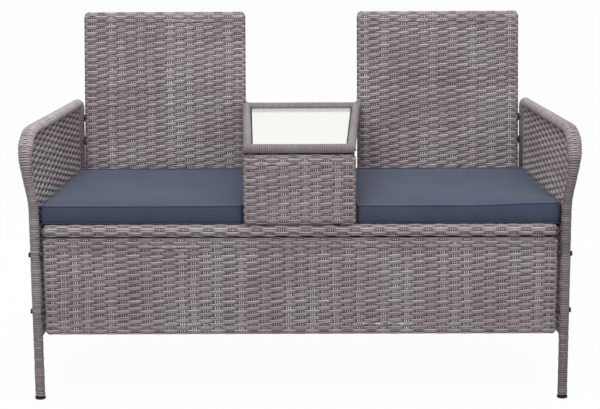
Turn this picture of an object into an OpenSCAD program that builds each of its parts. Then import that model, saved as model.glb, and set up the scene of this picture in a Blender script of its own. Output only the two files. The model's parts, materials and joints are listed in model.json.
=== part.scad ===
/* [Overall] */
// Width over the two arms at their widest
overall_w = 1330; // [1200:5:1500]
// Depth from the front of the front legs to the back of the rear feet
overall_d = 550; // [520:5:600]
// Height of the top of the two backs
back_top = 847; // [800:1:900]

/* [Tubes and wrap] */
// Outside diameter of the main steel tubes
tube_d = 19; // [18:0.5:20]
// Outside diameter of the tubes of the apron, the console, the table and the side rails
thin_tube_d = 16; // [15:0.5:17]
// Outside diameter of the bars under the seat and behind the apron
bar_d = 12.7; // [11:0.1:13]
// Wall of every steel tube
tube_wall = 1.2; // [1:0.1:1.5]
// Thickness of the strands wound round a tube
wrap_wall = 2.4; // [2.2:0.1:3]
// Thickness of the strands round the seat's tubes
deck_wall = 3.4; // [3:0.1:4]
// Radial clearance between a tube and what is wound round it
fit_gap = 0.1; // [0.05:0.05:0.2]
// Thickness of a woven sheet
sheet_t = 6; // [5:0.5:6.5]
// How far a wrapped edge stands proud of the sheet beside it
edge_proud = 1; // [0.5:0.1:1.5]

/* [Arms] */
// Width of the arm's top at the front
arm_w = 36; // [30:1:40]
// Height of the middle of the arm's top, carried forward to the front leg
arm_front_z = 645; // [600:1:680]
// Height of the middle of the arm's top at the rear leg
arm_rear_z = 623; // [590:1:650]
// Bend radius at the front of the arm
arm_front_bend = 105; // [80:1:115]
// Bend radius at the rear of the arm
arm_rear_bend = 25; // [20:1:60]
// How far the rounded front corner draws the arm in from the corner of its two straight lines
corner_draw = 13; // [8:1:16]
// How far the front leg flares out below the arm
leg_flare = 32; // [20:1:40]
// Height at which the front leg starts to flare
flare_z = 490; // [460:1:500]
// Bend radius of the leg where the flare starts
flare_bend = 260; // [150:10:400]
// Share of the front bend over which the arm's top widens
arm_widen = 0.75; // [0.6:0.05:0.9]
// How much nearer the middle the top of the rear leg is than the front leg
rear_narrow = 65; // [50:1:75]
// How far the rear leg leans back from the arm to the floor
rear_lean = 58; // [30:1:70]
// How far the rear leg spreads out from the arm to the floor
rear_spread = 8; // [0:1:12]
// Height of the rail along the bottom of the side panel
side_low_z = 160; // [140:1:180]
// Thickness of the woven side panel
side_t = 8; // [6:0.5:9]
// Share of the side panel's thickness that lies inside the middle of the legs
side_in = 0.75; // [0.6:0.05:0.8]
// Gap between the side panel and the wrap of the legs and the arm
panel_gap = 1; // [0.6:0.1:1.2]

/* [Seat] */
// Height of the top of the seat's front rail
seat_top = 430; // [420:1:440]
// Distance between the seat's front and rear tubes
seat_len = 426; // [415:1:435]
// Fall of the seat to the rear in degrees
seat_slope = 2.5; // [1:0.1:3.5]
// How far the panels at the front stand behind the front of the legs
panel_set = 1; // [1:0.5:3]
// Gap between a side rail and the seat beside it
side_gap = 6; // [5:0.5:8]
// Distance of the inner bars under the seat from the middle
bar_inner_x = 137; // [120:1:160]
// Distance of the outer bars under the seat from the middle
bar_outer_x = 370; // [330:1:410]

/* [Backs] */
// Width of one back
back_w = 407; // [390:1:412]
// Recline of the backs in degrees
recline = 11.9; // [10:0.1:14]
// Gap between a back and the rear leg beside it
back_gap = 3; // [2:0.5:5]
// Gap between the foot of a back and the rear of the seat
back_lift = 3; // [2:0.5:6]

/* [Apron] */
// Height of the bottom of the apron
apron_low = 161; // [140:1:220]
// Seam between the apron and the seat's front rail
apron_seam = 2.5; // [2:0.5:8]
// Gap between the apron and the legs
apron_gap = 7; // [5:0.5:9]
// Distance of the apron's upright bars from the middle
apron_bar_x = 203; // [150:1:260]

/* [Console and table] */
// Width of the console below the table
console_w = 264; // [250:1:268]
// Seam above and below the console
console_seam = 3; // [2:0.5:5]
// Height of the top of the table's frame
table_top = 627; // [620:1:650]
// How far the table's rear corners lap in front of each back
table_lap = 7.5; // [4:0.5:10]
// Gap between the table's rear tube and the backs
table_clear = 0.5; // [0.3:0.1:1]
// Thickness of the glass
glass_t = 5; // [4:0.5:6]
// Gap between the glass and the frame round it
glass_gap = 2.5; // [1.5:0.5:4]
// Corner radius of the glass
glass_corner = 6; // [3:1:10]
// Thickness of the steel tabs under the glass
tab_t = 2; // [1.5:0.5:2]
// Width of a tab
tab_w = 20; // [14:1:26]
// How far a tab reaches in from its tube
tab_reach = 20; // [15:1:26]
// Thickness of the pads between the tabs and the glass
pad_t = 1.5; // [1:0.5:2]
// Diameter of a pad
pad_d = 10; // [8:1:12]
// Distance of the tabs from the front and the rear tube
tab_inset = 70; // [45:1:110]
// Thickness of the plates that join the table to the backs
plate_t = 3; // [2:0.5:3.5]
// Height of those plates
plate_h = 14; // [13:0.5:15]
// How far a plate runs on past its bolt
plate_over = 12; // [8:1:15]
// Gap between a plate and the back beside it
plate_gap = 0.6; // [0.3:0.1:1]
// Gap between the glass and the pads under it
rest_gap = 0.1; // [0.05:0.05:0.2]

/* [Cushions] */
// Thickness of a cushion at its edge
cushion_t = 44; // [35:1:55]
// How far the middle of a cushion rises above its edge
cushion_crown = 7; // [4:1:12]
// How far a cushion's rounded side is drawn in at its top and bottom edge
cushion_roll = 7; // [4:1:10]
// Distance from the edge at which a cushion reaches its full height
crown_in = 100; // [70:5:120]
// How far the cushion's front is behind the front tube's middle
cushion_front = 8; // [4:1:14]
// How far a cushion's outer side stands past the side of the seat at the front
cushion_over = 6; // [2:0.5:7]
// Gap between a cushion and the console
cushion_inner = 4; // [3:0.5:8]
// How much farther from the middle a cushion's inner side is at the rear
cushion_turn = 16; // [14:1:20]
// Gap between a cushion and the back behind it
cushion_rear = 2.5; // [2:0.5:6]
// Corner radius of a cushion seen from above
cushion_corner = 22; // [14:1:34]
// How far a cushion's sides are drawn in between the corners
cushion_draw = 3; // [1:0.5:5]
// Gap under and round soft pieces
soft_gap = 0.3; // [0.3:0.1:0.6]

/* [Fasteners] */
// Diameter of the bolts
bolt_d = 6; // [5:0.5:6]
// Radial clearance round a bolt in its holes
bolt_gap = 0.25; // [0.2:0.05:0.4]
// Diameter of a bolt's head
head_d = 12; // [10:0.5:13]
// Height of a bolt's head
head_h = 3.5; // [2.5:0.5:4]
// How far a bolt reaches past the wall of the tube that holds it
bolt_past = 4; // [2:0.5:5]
// Diameter of the spacers
spacer_d = 18; // [14:1:20]
// Distance of the bolts of the console and the apron from the middle
seam_bolt_x = 88; // [70:1:100]
// Distance of the first bolt of a seat side from the front tube
side_bolt_front = 70; // [50:1:100]
// Distance of the second bolt of a seat side from the front tube
side_bolt_rear = 350; // [310:1:375]
// Height of the upper bolt between an arm and a back
arm_bolt_z = 583; // [560:1:586]
// Distance down to the lower bolt between an arm and a back
arm_bolt_drop = 60; // [40:1:80]
// Height of the upper bolt between the apron and a leg
leg_bolt_z = 360; // [330:1:380]
// Distance down to the lower bolt between the apron and a leg
leg_bolt_drop = 140; // [110:1:150]
// Distance of the bolts at the foot of a back from its side tubes
foot_bolt_in = 80; // [50:1:120]

/* [Feet] */
// Thickness of a foot cap under the tube
cap_t = 4; // [3:0.5:6]
// Gap between a foot cap's pad and the end of its leg
cap_gap = 1; // [0.5:0.5:2]
// How far a foot cap stands out past the wrap
cap_out = 0.8; // [0:0.1:1.5]
// Length of the plug inside the leg
plug_len = 16; // [10:1:24]
// Radial clearance of the plug in the leg
plug_gap = 0.35; // [0.3:0.05:0.6]

/* [Hidden] */

WEAVE = [0.52, 0.49, 0.50];
STEEL = [0.16, 0.16, 0.17];
BLACK = [0.05, 0.05, 0.05];
CLEAR = [0.8, 0.8, 0.8];
FABRIC = [0.33, 0.37, 0.45];
GLASS = [0.93, 0.95, 0.93, 0.6];

// Facets of the round forms, and how far a cut runs past what it cuts
round_fn = 64;
sweep_sides = 16;
flare_steps = 3;
front_bend_steps = 9;
rear_bend_steps = 7;
panel_cols = 16;
panel_rows = 8;
corner_steps = 4;
cushion_side_steps = 8;
cushion_roll_steps = 5;
crown_steps = 3;
cut = 1;

// Radii of the tubes and of what is wound round them
tube_r = tube_d / 2;
thin_r = thin_tube_d / 2;
bar_r = bar_d / 2;
wrap_r = tube_r + fit_gap + wrap_wall;
thin_wrap_r = thin_r + fit_gap + wrap_wall;
deck_r = tube_r + fit_gap + deck_wall;

// A wound end is drawn in by end_taper, a cross tube is join_less thinner than the tubes it meets,
// and a tube runs past a corner by end_over of its radius
end_taper = 3;
join_less = 0.5;
end_over = 0.55;

// Legs and arm corners of the right-hand side
leg_y = overall_d / 2 - wrap_r;
corner_x = overall_w / 2 - arm_w / 2 + corner_draw;
leg_x = corner_x - leg_flare;
rear_top_x = leg_x - rear_narrow;
rear_top_y = leg_y - rear_lean;
foot_z = cap_t + cap_gap;
wrap_z = foot_z + cap_gap;

// The rear leg's middle at height z
function rear_at(z) =
    let (s = (arm_rear_z - z) / arm_rear_z)
    [rear_top_x + s * rear_spread, rear_top_y + s * rear_lean, z];

// The front leg's middle at height z, on its straight lines
function front_at(z) =
    [leg_x + max(0, z - flare_z) / (arm_front_z - flare_z) * leg_flare, -leg_y, z];

// Seat: a flat frame that falls to the rear from its front tube
seat_y = -overall_d / 2 + panel_set + deck_r;
seat_z = seat_top - deck_r;
seat_rear_y = seat_y + seat_len * cos(seat_slope);
seat_rear_z = seat_z - seat_len * sin(seat_slope);

// The side rail beside the seat, from the front leg to the rear leg
fall = tan(seat_slope);
rail_front = [leg_x, -leg_y, seat_z + (seat_y + leg_y) * fall];
rail_rear = rear_at((seat_z - (leg_y - seat_y) * fall) / (1 - rear_lean * fall / arm_rear_z));
low_front = [leg_x, -leg_y, side_low_z];
low_rear = rear_at(side_low_z);

// Plan direction of the side rail and the direction square to it, pointing out
rail_dir = unit([rail_rear[0] - rail_front[0], rail_rear[1] - rail_front[1], 0]);
rail_out = [rail_dir[1], -rail_dir[0], 0];

// Middle of the seat's side tube at distance v behind the front tube, in the seat's own plane
seat_off = (thin_wrap_r + side_gap + deck_r) / rail_out[0];
function seat_side_x(v) =
    leg_x - seat_off + (seat_y + v * cos(seat_slope) + leg_y) * rail_dir[0] / rail_dir[1];

// Backs
back_out_x = rear_top_x - wrap_r - back_gap;
back_in_x = back_out_x - back_w;
back_mid_x = (back_out_x + back_in_x) / 2;
back_foot_y = seat_rear_y;
back_foot_z = seat_rear_z + deck_r + back_lift + wrap_r;
back_h = (back_top - wrap_r - back_foot_z) / cos(recline);
function back_axis_y(z) = back_foot_y + (z - back_foot_z) * tan(recline);
function back_face_y(z) = back_axis_y(z) - wrap_r / cos(recline);

// Table frame: middle of its tubes
table_z = table_top - thin_wrap_r;
table_front_y = seat_y;
table_rear_y = back_face_y(table_z) - table_clear - thin_wrap_r;
table_front_x = console_w / 2 - thin_wrap_r;
table_rear_x = back_in_x + table_lap - thin_wrap_r;
function table_x(y) = table_front_x
    + (y - table_front_y) / (table_rear_y - table_front_y) * (table_rear_x - table_front_x);
glass_low = table_z - thin_r + pad_t;

// Console and apron: middle of their tubes
console_x = console_w / 2 - thin_wrap_r;
console_low_z = seat_top + console_seam + thin_wrap_r;
console_high_z = table_z - thin_wrap_r - console_seam - thin_wrap_r;
apron_x = leg_x - wrap_r - apron_gap - thin_wrap_r;
apron_low_z = apron_low + thin_wrap_r;
apron_high_z = seat_z - deck_r - apron_seam - thin_wrap_r;

function unit(v) = v / norm(v);
function lerp(a, b, t) = a + (b - a) * t;
function smooth(t) = let (c = min(1, max(0, t))) c * c * (3 - 2 * c);
function flip(p, s) = [p[0] * s, p[1], p[2]];

// Points round the corner b of a line a-b-c, on an arc of radius r in n steps
function bend(a, b, c, r, n) =
    let (
        u = unit(a - b), v = unit(c - b), half = acos(u * v) / 2,
        middle = b + unit(u + v) * r / sin(half),
        from = b + u * r / tan(half) - middle,
        to = b + v * r / tan(half) - middle,
        turn = 180 - 2 * half
    )
    [for (i = [0:n]) middle + (sin(turn * (1 - i / n)) * from + sin(turn * i / n) * to) / sin(turn)];

// The arm's one bent tube: front foot, flare, front corner, rear corner, rear foot
arm_corners = [
    front_at(foot_z), front_at(flare_z), [corner_x, -leg_y, arm_front_z],
    rear_at(arm_rear_z), rear_at(foot_z),
];
arm_path = concat(
    [arm_corners[0]],
    bend(arm_corners[0], arm_corners[1], arm_corners[2], flare_bend, flare_steps),
    bend(arm_corners[1], arm_corners[2], arm_corners[3], arm_front_bend, front_bend_steps),
    bend(arm_corners[2], arm_corners[3], arm_corners[4], arm_rear_bend, rear_bend_steps),
    [arm_corners[4]]
);

// Direction of a path at its point i
function heading(path, i) =
    i == 0 ? unit(path[1] - path[0])
    : i == len(path) - 1 ? unit(path[i] - path[i - 1])
    : unit(unit(path[i + 1] - path[i]) + unit(path[i] - path[i - 1]));

// Half width of the wrap at a point of the arm: widest at the front corner
function arm_half(p) = wrap_r + (arm_w / 2 - wrap_r)
    * smooth((p[2] - arm_front_z + arm_front_bend) / (arm_front_bend * arm_widen))
    * (1 - smooth((p[1] + leg_y) / (rear_top_y + leg_y)));

// A ring of points round c, square to t, with its half width w level and its half height h
function ring(c, t, w, h) =
    let (u = unit(rail_out - (rail_out * t) * t), v = cross(t, u))
    [for (k = [0:sweep_sides - 1]) let (a = 360 * k / sweep_sides)
        c + w * cos(a) * u + h * sin(a) * v];

function tube_rings(path, r) =
    [for (i = [0:len(path) - 1]) ring(path[i], heading(path, i), r, r)];

function join(rows) = [for (r = rows) for (p = r) p];

// An open-ended hollow sweep between two rows of rings, given as lists of rings
module hollow_sweep(outer, inner) {
    n = len(outer);
    s = sweep_sides;
    base = n * s;
    skin = [for (i = [0:n - 2]) for (k = [0:s - 1]) let (
        a = i * s + k, b = i * s + (k + 1) % s, c = a + s, d = b + s
    ) each [[a, c, d], [a, d, b], [base + a, base + d, base + c], [base + a, base + b, base + d]]];
    ends = [for (k = [0:s - 1]) let (
        a = k, b = (k + 1) % s, e = (n - 1) * s + k, f = (n - 1) * s + (k + 1) % s
    ) each [[a, b, base + b], [a, base + b, base + a], [e, base + f, f], [e, base + e, base + f]]];
    polyhedron(points = join(concat(outer, inner)), faces = concat(skin, ends));
}

// A child cylinder's frame: from p towards q
module along(p, q) {
    d = q - p;
    translate(p) rotate([0, acos(d[2] / norm(d)), atan2(d[1], d[0])]) children();
}

module rod(p, q, r) {
    along(p, q) cylinder(r = r, h = norm(q - p), $fn = round_fn);
}

// Runs are [start, end, radius]; grow widens each rod and stretch lengthens it at both ends
module rods(runs, grow = 0, stretch = 0) {
    for (run = runs) {
        step = unit(run[1] - run[0]) * stretch;
        rod(run[0] - step, run[1] + step, run[2] + grow);
    }
}

// Hollow tubes welded into a frame
module tubes(runs) {
    difference() {
        rods(runs);
        rods(runs, -tube_wall, cut);
    }
}

// The four tubes of a frame by its corners: a-b and c-d run past them, a-c and b-d join those two
function frame_runs(a, b, c, d, r) =
    let (over_ab = unit(b - a) * r * end_over, over_cd = unit(d - c) * r * end_over)
    [
        [a - over_ab, b + over_ab, r], [c - over_cd, d + over_cd, r],
        [a, c, r - join_less], [b, d, r - join_less],
    ];

// A rod that runs past p and q by its own radius, with its ends drawn in
module capped_rod(p, q, r) {
    over = unit(q - p) * (r - end_taper);
    rod(p - over, q + over, r);
    along(q + over, q + over * 2) cylinder(r1 = r, r2 = r - end_taper, h = end_taper, $fn = round_fn);
    along(p - over, p - over * 2) cylinder(r1 = r, r2 = r - end_taper, h = end_taper, $fn = round_fn);
}

// What is wound round those four tubes
module edge_wrap(a, b, c, d, r) {
    capped_rod(a, b, r);
    capped_rod(c, d, r);
    rods([[a, c, r - join_less], [b, d, r - join_less]]);
}

// A bolt is [place under its head, direction, length]
module bolts(list) {
    for (b = list) {
        rod(b[0] - unit(b[1]) * head_h, b[0], head_d / 2);
        rod(b[0] - unit(b[1]) * cut, b[0] + unit(b[1]) * b[2], bolt_d / 2);
    }
}

module bolt_holes(list) {
    for (b = list)
        rod(b[0] - unit(b[1]) * cut, b[0] + unit(b[1]) * (b[2] + bolt_gap), bolt_d / 2 + bolt_gap);
}

// A spacer is [start, end] on a bolt's line
module spacers(list) {
    for (s = list) difference() {
        rod(s[0], s[1], spacer_d / 2);
        rods([[s[0], s[1], bolt_d / 2 + bolt_gap]], 0, cut);
    }
}

// Bolts through the side rail into the seat's side tube, from outside
side_bolt_len = 2 * thin_wrap_r + side_gap + deck_r - tube_r + bolt_past;
function rail_point(v) =
    let (y = seat_y + v * cos(seat_slope), t = (y + leg_y) / (rail_rear[1] - rail_front[1]))
    lerp(rail_front, rail_rear, t);
seat_side_bolt_list = [for (s = [-1, 1]) for (v = [side_bolt_front, side_bolt_rear])
    [flip(rail_point(v) + rail_out * thin_wrap_r, s), flip(-rail_out, s), side_bolt_len]];
seat_side_spacer_list = [for (s = [-1, 1]) for (v = [side_bolt_front, side_bolt_rear])
    let (p = rail_point(v) - rail_out * thin_wrap_r)
    [flip(p, s), flip(p - rail_out * side_gap, s)]];

// Bolts through the rear leg into the back's outer tube
arm_bolt_heights = [arm_bolt_z, arm_bolt_z - arm_bolt_drop];
back_arm_bolt_list = [for (s = [-1, 1]) for (z = arm_bolt_heights)
    let (p = rear_at(z), reach = p[0] + wrap_r - back_out_x)
    [flip([p[0] + wrap_r, p[1], z], s), [-s, 0, 0], reach + wrap_r - tube_r + bolt_past]];
back_arm_spacer_list = [for (s = [-1, 1]) for (z = arm_bolt_heights)
    let (p = rear_at(z))
    [flip([p[0] - wrap_r, p[1], z], s), flip([back_out_x, p[1], z], s)]];

// Bolts from below through the seat's rear tube into the foot of a back
foot_bolt_len = 2 * deck_r + back_lift + wrap_r - tube_r + bolt_past;
foot_bolt_x = [back_in_x + wrap_r + foot_bolt_in, back_out_x - wrap_r - foot_bolt_in];
back_foot_bolt_list = [for (s = [-1, 1]) for (x = foot_bolt_x)
    [[x * s, seat_rear_y, seat_rear_z - deck_r], [0, 0, 1], foot_bolt_len]];
back_foot_spacer_list = [for (s = [-1, 1]) for (x = foot_bolt_x)
    [[x * s, seat_rear_y, seat_rear_z + deck_r], [x * s, seat_rear_y, seat_rear_z + deck_r + back_lift]]];

// Bolts in the seams of the console and the apron, far enough back that their heads clear the sheets
seam_y = seat_y + head_d / 2 + soft_gap - thin_wrap_r + edge_proud + sheet_t;
function at_seam(s, z) = [seam_bolt_x * s, seam_y, z];
console_top_bolt_list = [for (s = [-1, 1])
    [at_seam(s, console_high_z - thin_wrap_r), [0, 0, 1],
        2 * thin_wrap_r + console_seam + thin_wrap_r - thin_r + bolt_past]];
console_low_bolt_list = [for (s = [-1, 1])
    [at_seam(s, console_low_z + thin_wrap_r), [0, 0, -1],
        2 * thin_wrap_r + console_seam + deck_r - tube_r + bolt_past]];
apron_seat_bolt_list = [for (s = [-1, 1])
    [at_seam(s, apron_high_z - thin_wrap_r), [0, 0, 1],
        2 * thin_wrap_r + apron_seam + deck_r - tube_r + bolt_past]];
console_spacer_list = [for (s = [-1, 1]) each [
    [at_seam(s, console_high_z + thin_wrap_r), at_seam(s, table_z - thin_wrap_r)],
    [at_seam(s, seat_top), at_seam(s, console_low_z - thin_wrap_r)],
]];
apron_seat_spacer_list = [for (s = [-1, 1])
    [at_seam(s, apron_high_z + thin_wrap_r), at_seam(s, seat_z - deck_r)]];

// Bolts through the front leg into the apron's side tube
leg_bolt_heights = [leg_bolt_z, leg_bolt_z - leg_bolt_drop];
apron_leg_bolt_list = [for (s = [-1, 1]) for (z = leg_bolt_heights)
    [[(leg_x + wrap_r) * s, -leg_y, z], [-s, 0, 0],
        2 * wrap_r + apron_gap + thin_wrap_r - thin_r + bolt_past]];
apron_leg_spacer_list = [for (s = [-1, 1]) for (z = leg_bolt_heights)
    [[(leg_x - wrap_r) * s, -leg_y, z], [(apron_x + thin_wrap_r) * s, -leg_y, z]]];

// Arms, drawn on the right and mirrored for the left
module arm_tube() {
    color(STEEL) difference() {
        hollow_sweep(tube_rings(arm_path, tube_r), tube_rings(arm_path, tube_r - tube_wall));
        bolt_holes(back_arm_bolt_list);
        bolt_holes(apron_leg_bolt_list);
    }
}

// The side rails stop at the legs' tubes, where they are welded
function between(p, q, in, r) = [p + unit(q - p) * in, q - unit(q - p) * in, r];
rail_runs = [
    between(low_front, low_rear, tube_r + fit_gap, thin_r),
    between(rail_front, rail_rear, tube_r + fit_gap, thin_r),
];

module arm_rails() {
    color(STEEL) difference() {
        tubes(rail_runs);
        bolt_holes(seat_side_bolt_list);
    }
}

wrap_path = concat(
    [front_at(wrap_z)],
    [for (i = [1:len(arm_path) - 2]) arm_path[i]],
    [rear_at(wrap_z)]
);

module arm_wrap() {
    rings_out = [for (i = [0:len(wrap_path) - 1])
        ring(wrap_path[i], heading(wrap_path, i), arm_half(wrap_path[i]), wrap_r)];
    color(WEAVE) difference() {
        hollow_sweep(rings_out, tube_rings(wrap_path, tube_r + fit_gap));
        rods(rail_runs, fit_gap);
        bolt_holes(back_arm_bolt_list);
        bolt_holes(apron_leg_bolt_list);
    }
}

// Top of the side panel at share t of the way from the front leg to the rear leg
panel_edge = wrap_r + panel_gap;
function under_arc(q, r) =
    q >= r ? 0 : r - sqrt(max(0, pow(r - panel_edge - panel_gap, 2) - pow(r - q, 2)));
function panel_top(t) =
    let (
        span = rear_top_y + leg_y, q = t * span,
        line = lerp(arm_front_z, arm_rear_z, max(t, arm_front_bend / span)),
        drop = max(panel_edge + panel_gap, under_arc(max(q, panel_edge), arm_front_bend),
            under_arc(max(span - q, panel_edge), arm_rear_bend))
    )
    line - drop;

// The woven side panel: a sheet ruled from the front leg to the rear leg
function panel_point(i, j) =
    let (
        edge = panel_edge / (rear_top_y + leg_y), t = lerp(edge, 1 - edge, j / panel_cols),
        z = lerp(side_low_z, panel_top(t), i / panel_rows)
    )
    lerp(front_at(z), rear_at(z), t);

module side_sheet() {
    across = panel_cols + 1;
    count = across * (panel_rows + 1);
    inner = [for (i = [0:panel_rows]) for (j = [0:panel_cols])
        panel_point(i, j) - rail_out * side_t * side_in];
    outer = [for (i = [0:panel_rows]) for (j = [0:panel_cols])
        panel_point(i, j) + rail_out * side_t * (1 - side_in)];
    flats = [for (i = [0:panel_rows - 1]) for (j = [0:panel_cols - 1]) let (
        a = i * across + j, b = a + 1, c = a + across, d = c + 1
    ) each [[a, b, d], [a, d, c], [count + a, count + d, count + b], [count + a, count + c, count + d]]];
    lows = [for (j = [0:panel_cols - 1]) let (a = j, b = j + 1, c = panel_rows * across + j, d = c + 1)
        each [[a, count + a, b], [b, count + a, count + b], [c, d, count + c], [d, count + d, count + c]]];
    sides = [for (i = [0:panel_rows - 1]) let (
        a = i * across, b = a + across, c = a + panel_cols, d = c + across
    ) each [[a, b, count + a], [b, count + b, count + a], [c, count + c, d], [d, count + c, count + d]]];
    polyhedron(points = concat(inner, outer), faces = concat(flats, lows, sides));
}

// The sleeves round the rails stop clear of the leaning leg
sleeve_in = panel_edge + thin_wrap_r * rear_lean / arm_rear_z;
module side_weave() {
    color(WEAVE) difference() {
        union() {
            side_sheet();
            rods([
                between(low_front, low_rear, sleeve_in, thin_wrap_r),
                between(rail_front, rail_rear, sleeve_in, thin_wrap_r),
            ]);
        }
        rods(rail_runs, fit_gap);
        bolt_holes(seat_side_bolt_list);
    }
}

// A foot cap: a flat pad on the floor and a plug up the leg, turned so that its seam is off the lean
plug_turn = 45;
module foot_cap(base, top) {
    dir = unit(top - base);
    color(BLACK) {
        translate([base[0], base[1], 0]) cylinder(r = wrap_r + cap_out, h = cap_t, $fn = round_fn);
        along(base - dir * cap_t / 2, top) rotate([0, 0, plug_turn])
            cylinder(r = tube_r - tube_wall - plug_gap, h = plug_len + cap_t / 2, $fn = round_fn);
    }
}
module front_foot() {
    foot_cap(front_at(foot_z), front_at(flare_z));
}
module rear_foot() {
    foot_cap(rear_at(foot_z), rear_at(arm_rear_z));
}

// Seat, in its own plane: x across, y to the rear, z up, from the middle of the front tube
module in_seat() {
    translate([0, seat_y, seat_z]) rotate([-seat_slope, 0, 0]) children();
}
seat_fl = [-seat_side_x(0), 0, 0];
seat_fr = [seat_side_x(0), 0, 0];
seat_rl = [-seat_side_x(seat_len), seat_len, 0];
seat_rr = [seat_side_x(seat_len), seat_len, 0];
seat_bar_z = deck_r - edge_proud - sheet_t - 2 * fit_gap - bar_r;
seat_bar_runs = [for (x = [-bar_outer_x, -bar_inner_x, bar_inner_x, bar_outer_x])
    [[x, tube_r, seat_bar_z], [x, seat_len - tube_r, seat_bar_z], bar_r]];

module seat_holes() {
    bolt_holes(seat_side_bolt_list);
    bolt_holes(back_foot_bolt_list);
    bolt_holes(console_low_bolt_list);
    bolt_holes(apron_seat_bolt_list);
}

module seat_frame() {
    color(STEEL) difference() {
        in_seat() tubes(frame_runs(seat_fl, seat_fr, seat_rl, seat_rr, tube_r));
        seat_holes();
    }
}

module seat_bars() {
    color(STEEL) in_seat() tubes(seat_bar_runs);
}

module seat_weave() {
    color(WEAVE) difference() {
        in_seat() difference() {
            union() {
                edge_wrap(seat_fl, seat_fr, seat_rl, seat_rr, deck_r);
                translate([0, 0, deck_r - edge_proud - sheet_t]) linear_extrude(sheet_t)
                    polygon([for (p = [seat_fl, seat_fr, seat_rr, seat_rl]) [p[0], p[1]]]);
            }
            rods(frame_runs(seat_fl, seat_fr, seat_rl, seat_rr, tube_r), fit_gap, fit_gap);
            rods(seat_bar_runs, fit_gap, fit_gap);
        }
        seat_holes();
    }
}

// A panel drawn upright: x across, z up, y to the rear; its frame and its woven skin
module panel_skin(low_l, high_l, low_r, high_r, r, wound_r, inner_runs = []) {
    front = wound_r - edge_proud;
    difference() {
        union() {
            edge_wrap(low_l, high_l, low_r, high_r, wound_r);
            translate([0, sheet_t - front, 0]) rotate([90, 0, 0]) linear_extrude(sheet_t)
                polygon([for (p = [low_l, low_r, high_r, high_l]) [p[0], p[2]]]);
        }
        rods(frame_runs(low_l, high_l, low_r, high_r, r), fit_gap, fit_gap);
        rods(inner_runs, fit_gap, fit_gap);
    }
}

// Backs, drawn upright about the middle of their foot and then leaned back
module in_back(side) {
    translate([back_mid_x * side, back_foot_y, back_foot_z]) rotate([-recline, 0, 0]) children();
}
back_half = back_w / 2 - wrap_r;
back_ll = [-back_half, 0, 0];
back_lr = [back_half, 0, 0];
back_hl = [-back_half, 0, back_h];
back_hr = [back_half, 0, back_h];

module back_holes() {
    bolt_holes(back_arm_bolt_list);
    bolt_holes(back_foot_bolt_list);
    bolt_holes(table_plate_bolt_list);
}

module back_frame(side) {
    color(STEEL) difference() {
        in_back(side) tubes(frame_runs(back_ll, back_hl, back_lr, back_hr, tube_r));
        back_holes();
    }
}

module back_weave(side) {
    color(WEAVE) difference() {
        in_back(side) panel_skin(back_ll, back_hl, back_lr, back_hr, tube_r, wrap_r);
        back_holes();
    }
}

// Apron
apron_ll = [-apron_x, 0, apron_low_z];
apron_lr = [apron_x, 0, apron_low_z];
apron_hl = [-apron_x, 0, apron_high_z];
apron_hr = [apron_x, 0, apron_high_z];
apron_bar_y = bar_r + 2 * fit_gap + sheet_t + edge_proud - thin_wrap_r;
apron_bar_runs = [for (x = [-apron_bar_x, apron_bar_x])
    [[x, apron_bar_y, apron_low_z + thin_r], [x, apron_bar_y, apron_high_z - thin_r], bar_r]];

module apron_holes() {
    bolt_holes(apron_seat_bolt_list);
    bolt_holes(apron_leg_bolt_list);
}

module apron_frame() {
    color(STEEL) difference() {
        translate([0, seat_y, 0]) tubes(frame_runs(apron_ll, apron_hl, apron_lr, apron_hr, thin_r));
        apron_holes();
    }
}

module apron_bars() {
    color(STEEL) translate([0, seat_y, 0]) tubes(apron_bar_runs);
}

module apron_weave() {
    color(WEAVE) difference() {
        translate([0, seat_y, 0])
            panel_skin(apron_ll, apron_hl, apron_lr, apron_hr, thin_r, thin_wrap_r, apron_bar_runs);
        apron_holes();
    }
}

// Console
console_ll = [-console_x, 0, console_low_z];
console_lr = [console_x, 0, console_low_z];
console_hl = [-console_x, 0, console_high_z];
console_hr = [console_x, 0, console_high_z];

module console_holes() {
    bolt_holes(console_top_bolt_list);
    bolt_holes(console_low_bolt_list);
}

module console_frame() {
    color(STEEL) difference() {
        translate([0, seat_y, 0]) tubes(frame_runs(console_ll, console_hl, console_lr, console_hr, thin_r));
        console_holes();
    }
}

module console_weave() {
    color(WEAVE) difference() {
        translate([0, seat_y, 0])
            panel_skin(console_ll, console_hl, console_lr, console_hr, thin_r, thin_wrap_r);
        console_holes();
    }
}

// Table
table_fl = [-table_front_x, table_front_y, table_z];
table_fr = [table_front_x, table_front_y, table_z];
table_rl = [-table_rear_x, table_rear_y, table_z];
table_rr = [table_rear_x, table_rear_y, table_z];

// The plates stand behind the table's rear corners, in the gap between the backs
plate_x = back_in_x - plate_gap - plate_t;
plate_y = table_rear_y + thin_r;
plate_len = back_axis_y(table_z) + plate_over - plate_y;
table_plate_bolt_list = [for (s = [-1, 1])
    [[plate_x * s, back_axis_y(table_z), table_z], [s, 0, 0],
        plate_t + plate_gap + wrap_r - tube_r + bolt_past]];

module table_plates() {
    color(BLACK) difference() {
        for (s = [-1, 1])
            translate([s > 0 ? plate_x : -plate_x - plate_t, plate_y, table_z - plate_h / 2])
                cube([plate_t, plate_len, plate_h]);
        bolt_holes(table_plate_bolt_list);
    }
}

// The tabs are welded under the side tubes and reach in below the glass
tab_ys = [table_front_y + tab_inset, table_rear_y - tab_inset];
module at_tabs() {
    for (s = [-1, 1]) for (y = tab_ys)
        translate([table_x(y) * s, y, 0]) rotate([0, 0, 90 - 90 * s]) children();
}

module glass_tabs() {
    color(STEEL) at_tabs() translate([-thin_r - tab_reach, -tab_w / 2, table_z - thin_r - tab_t])
        cube([thin_r + tab_reach, tab_w, tab_t]);
}

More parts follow.
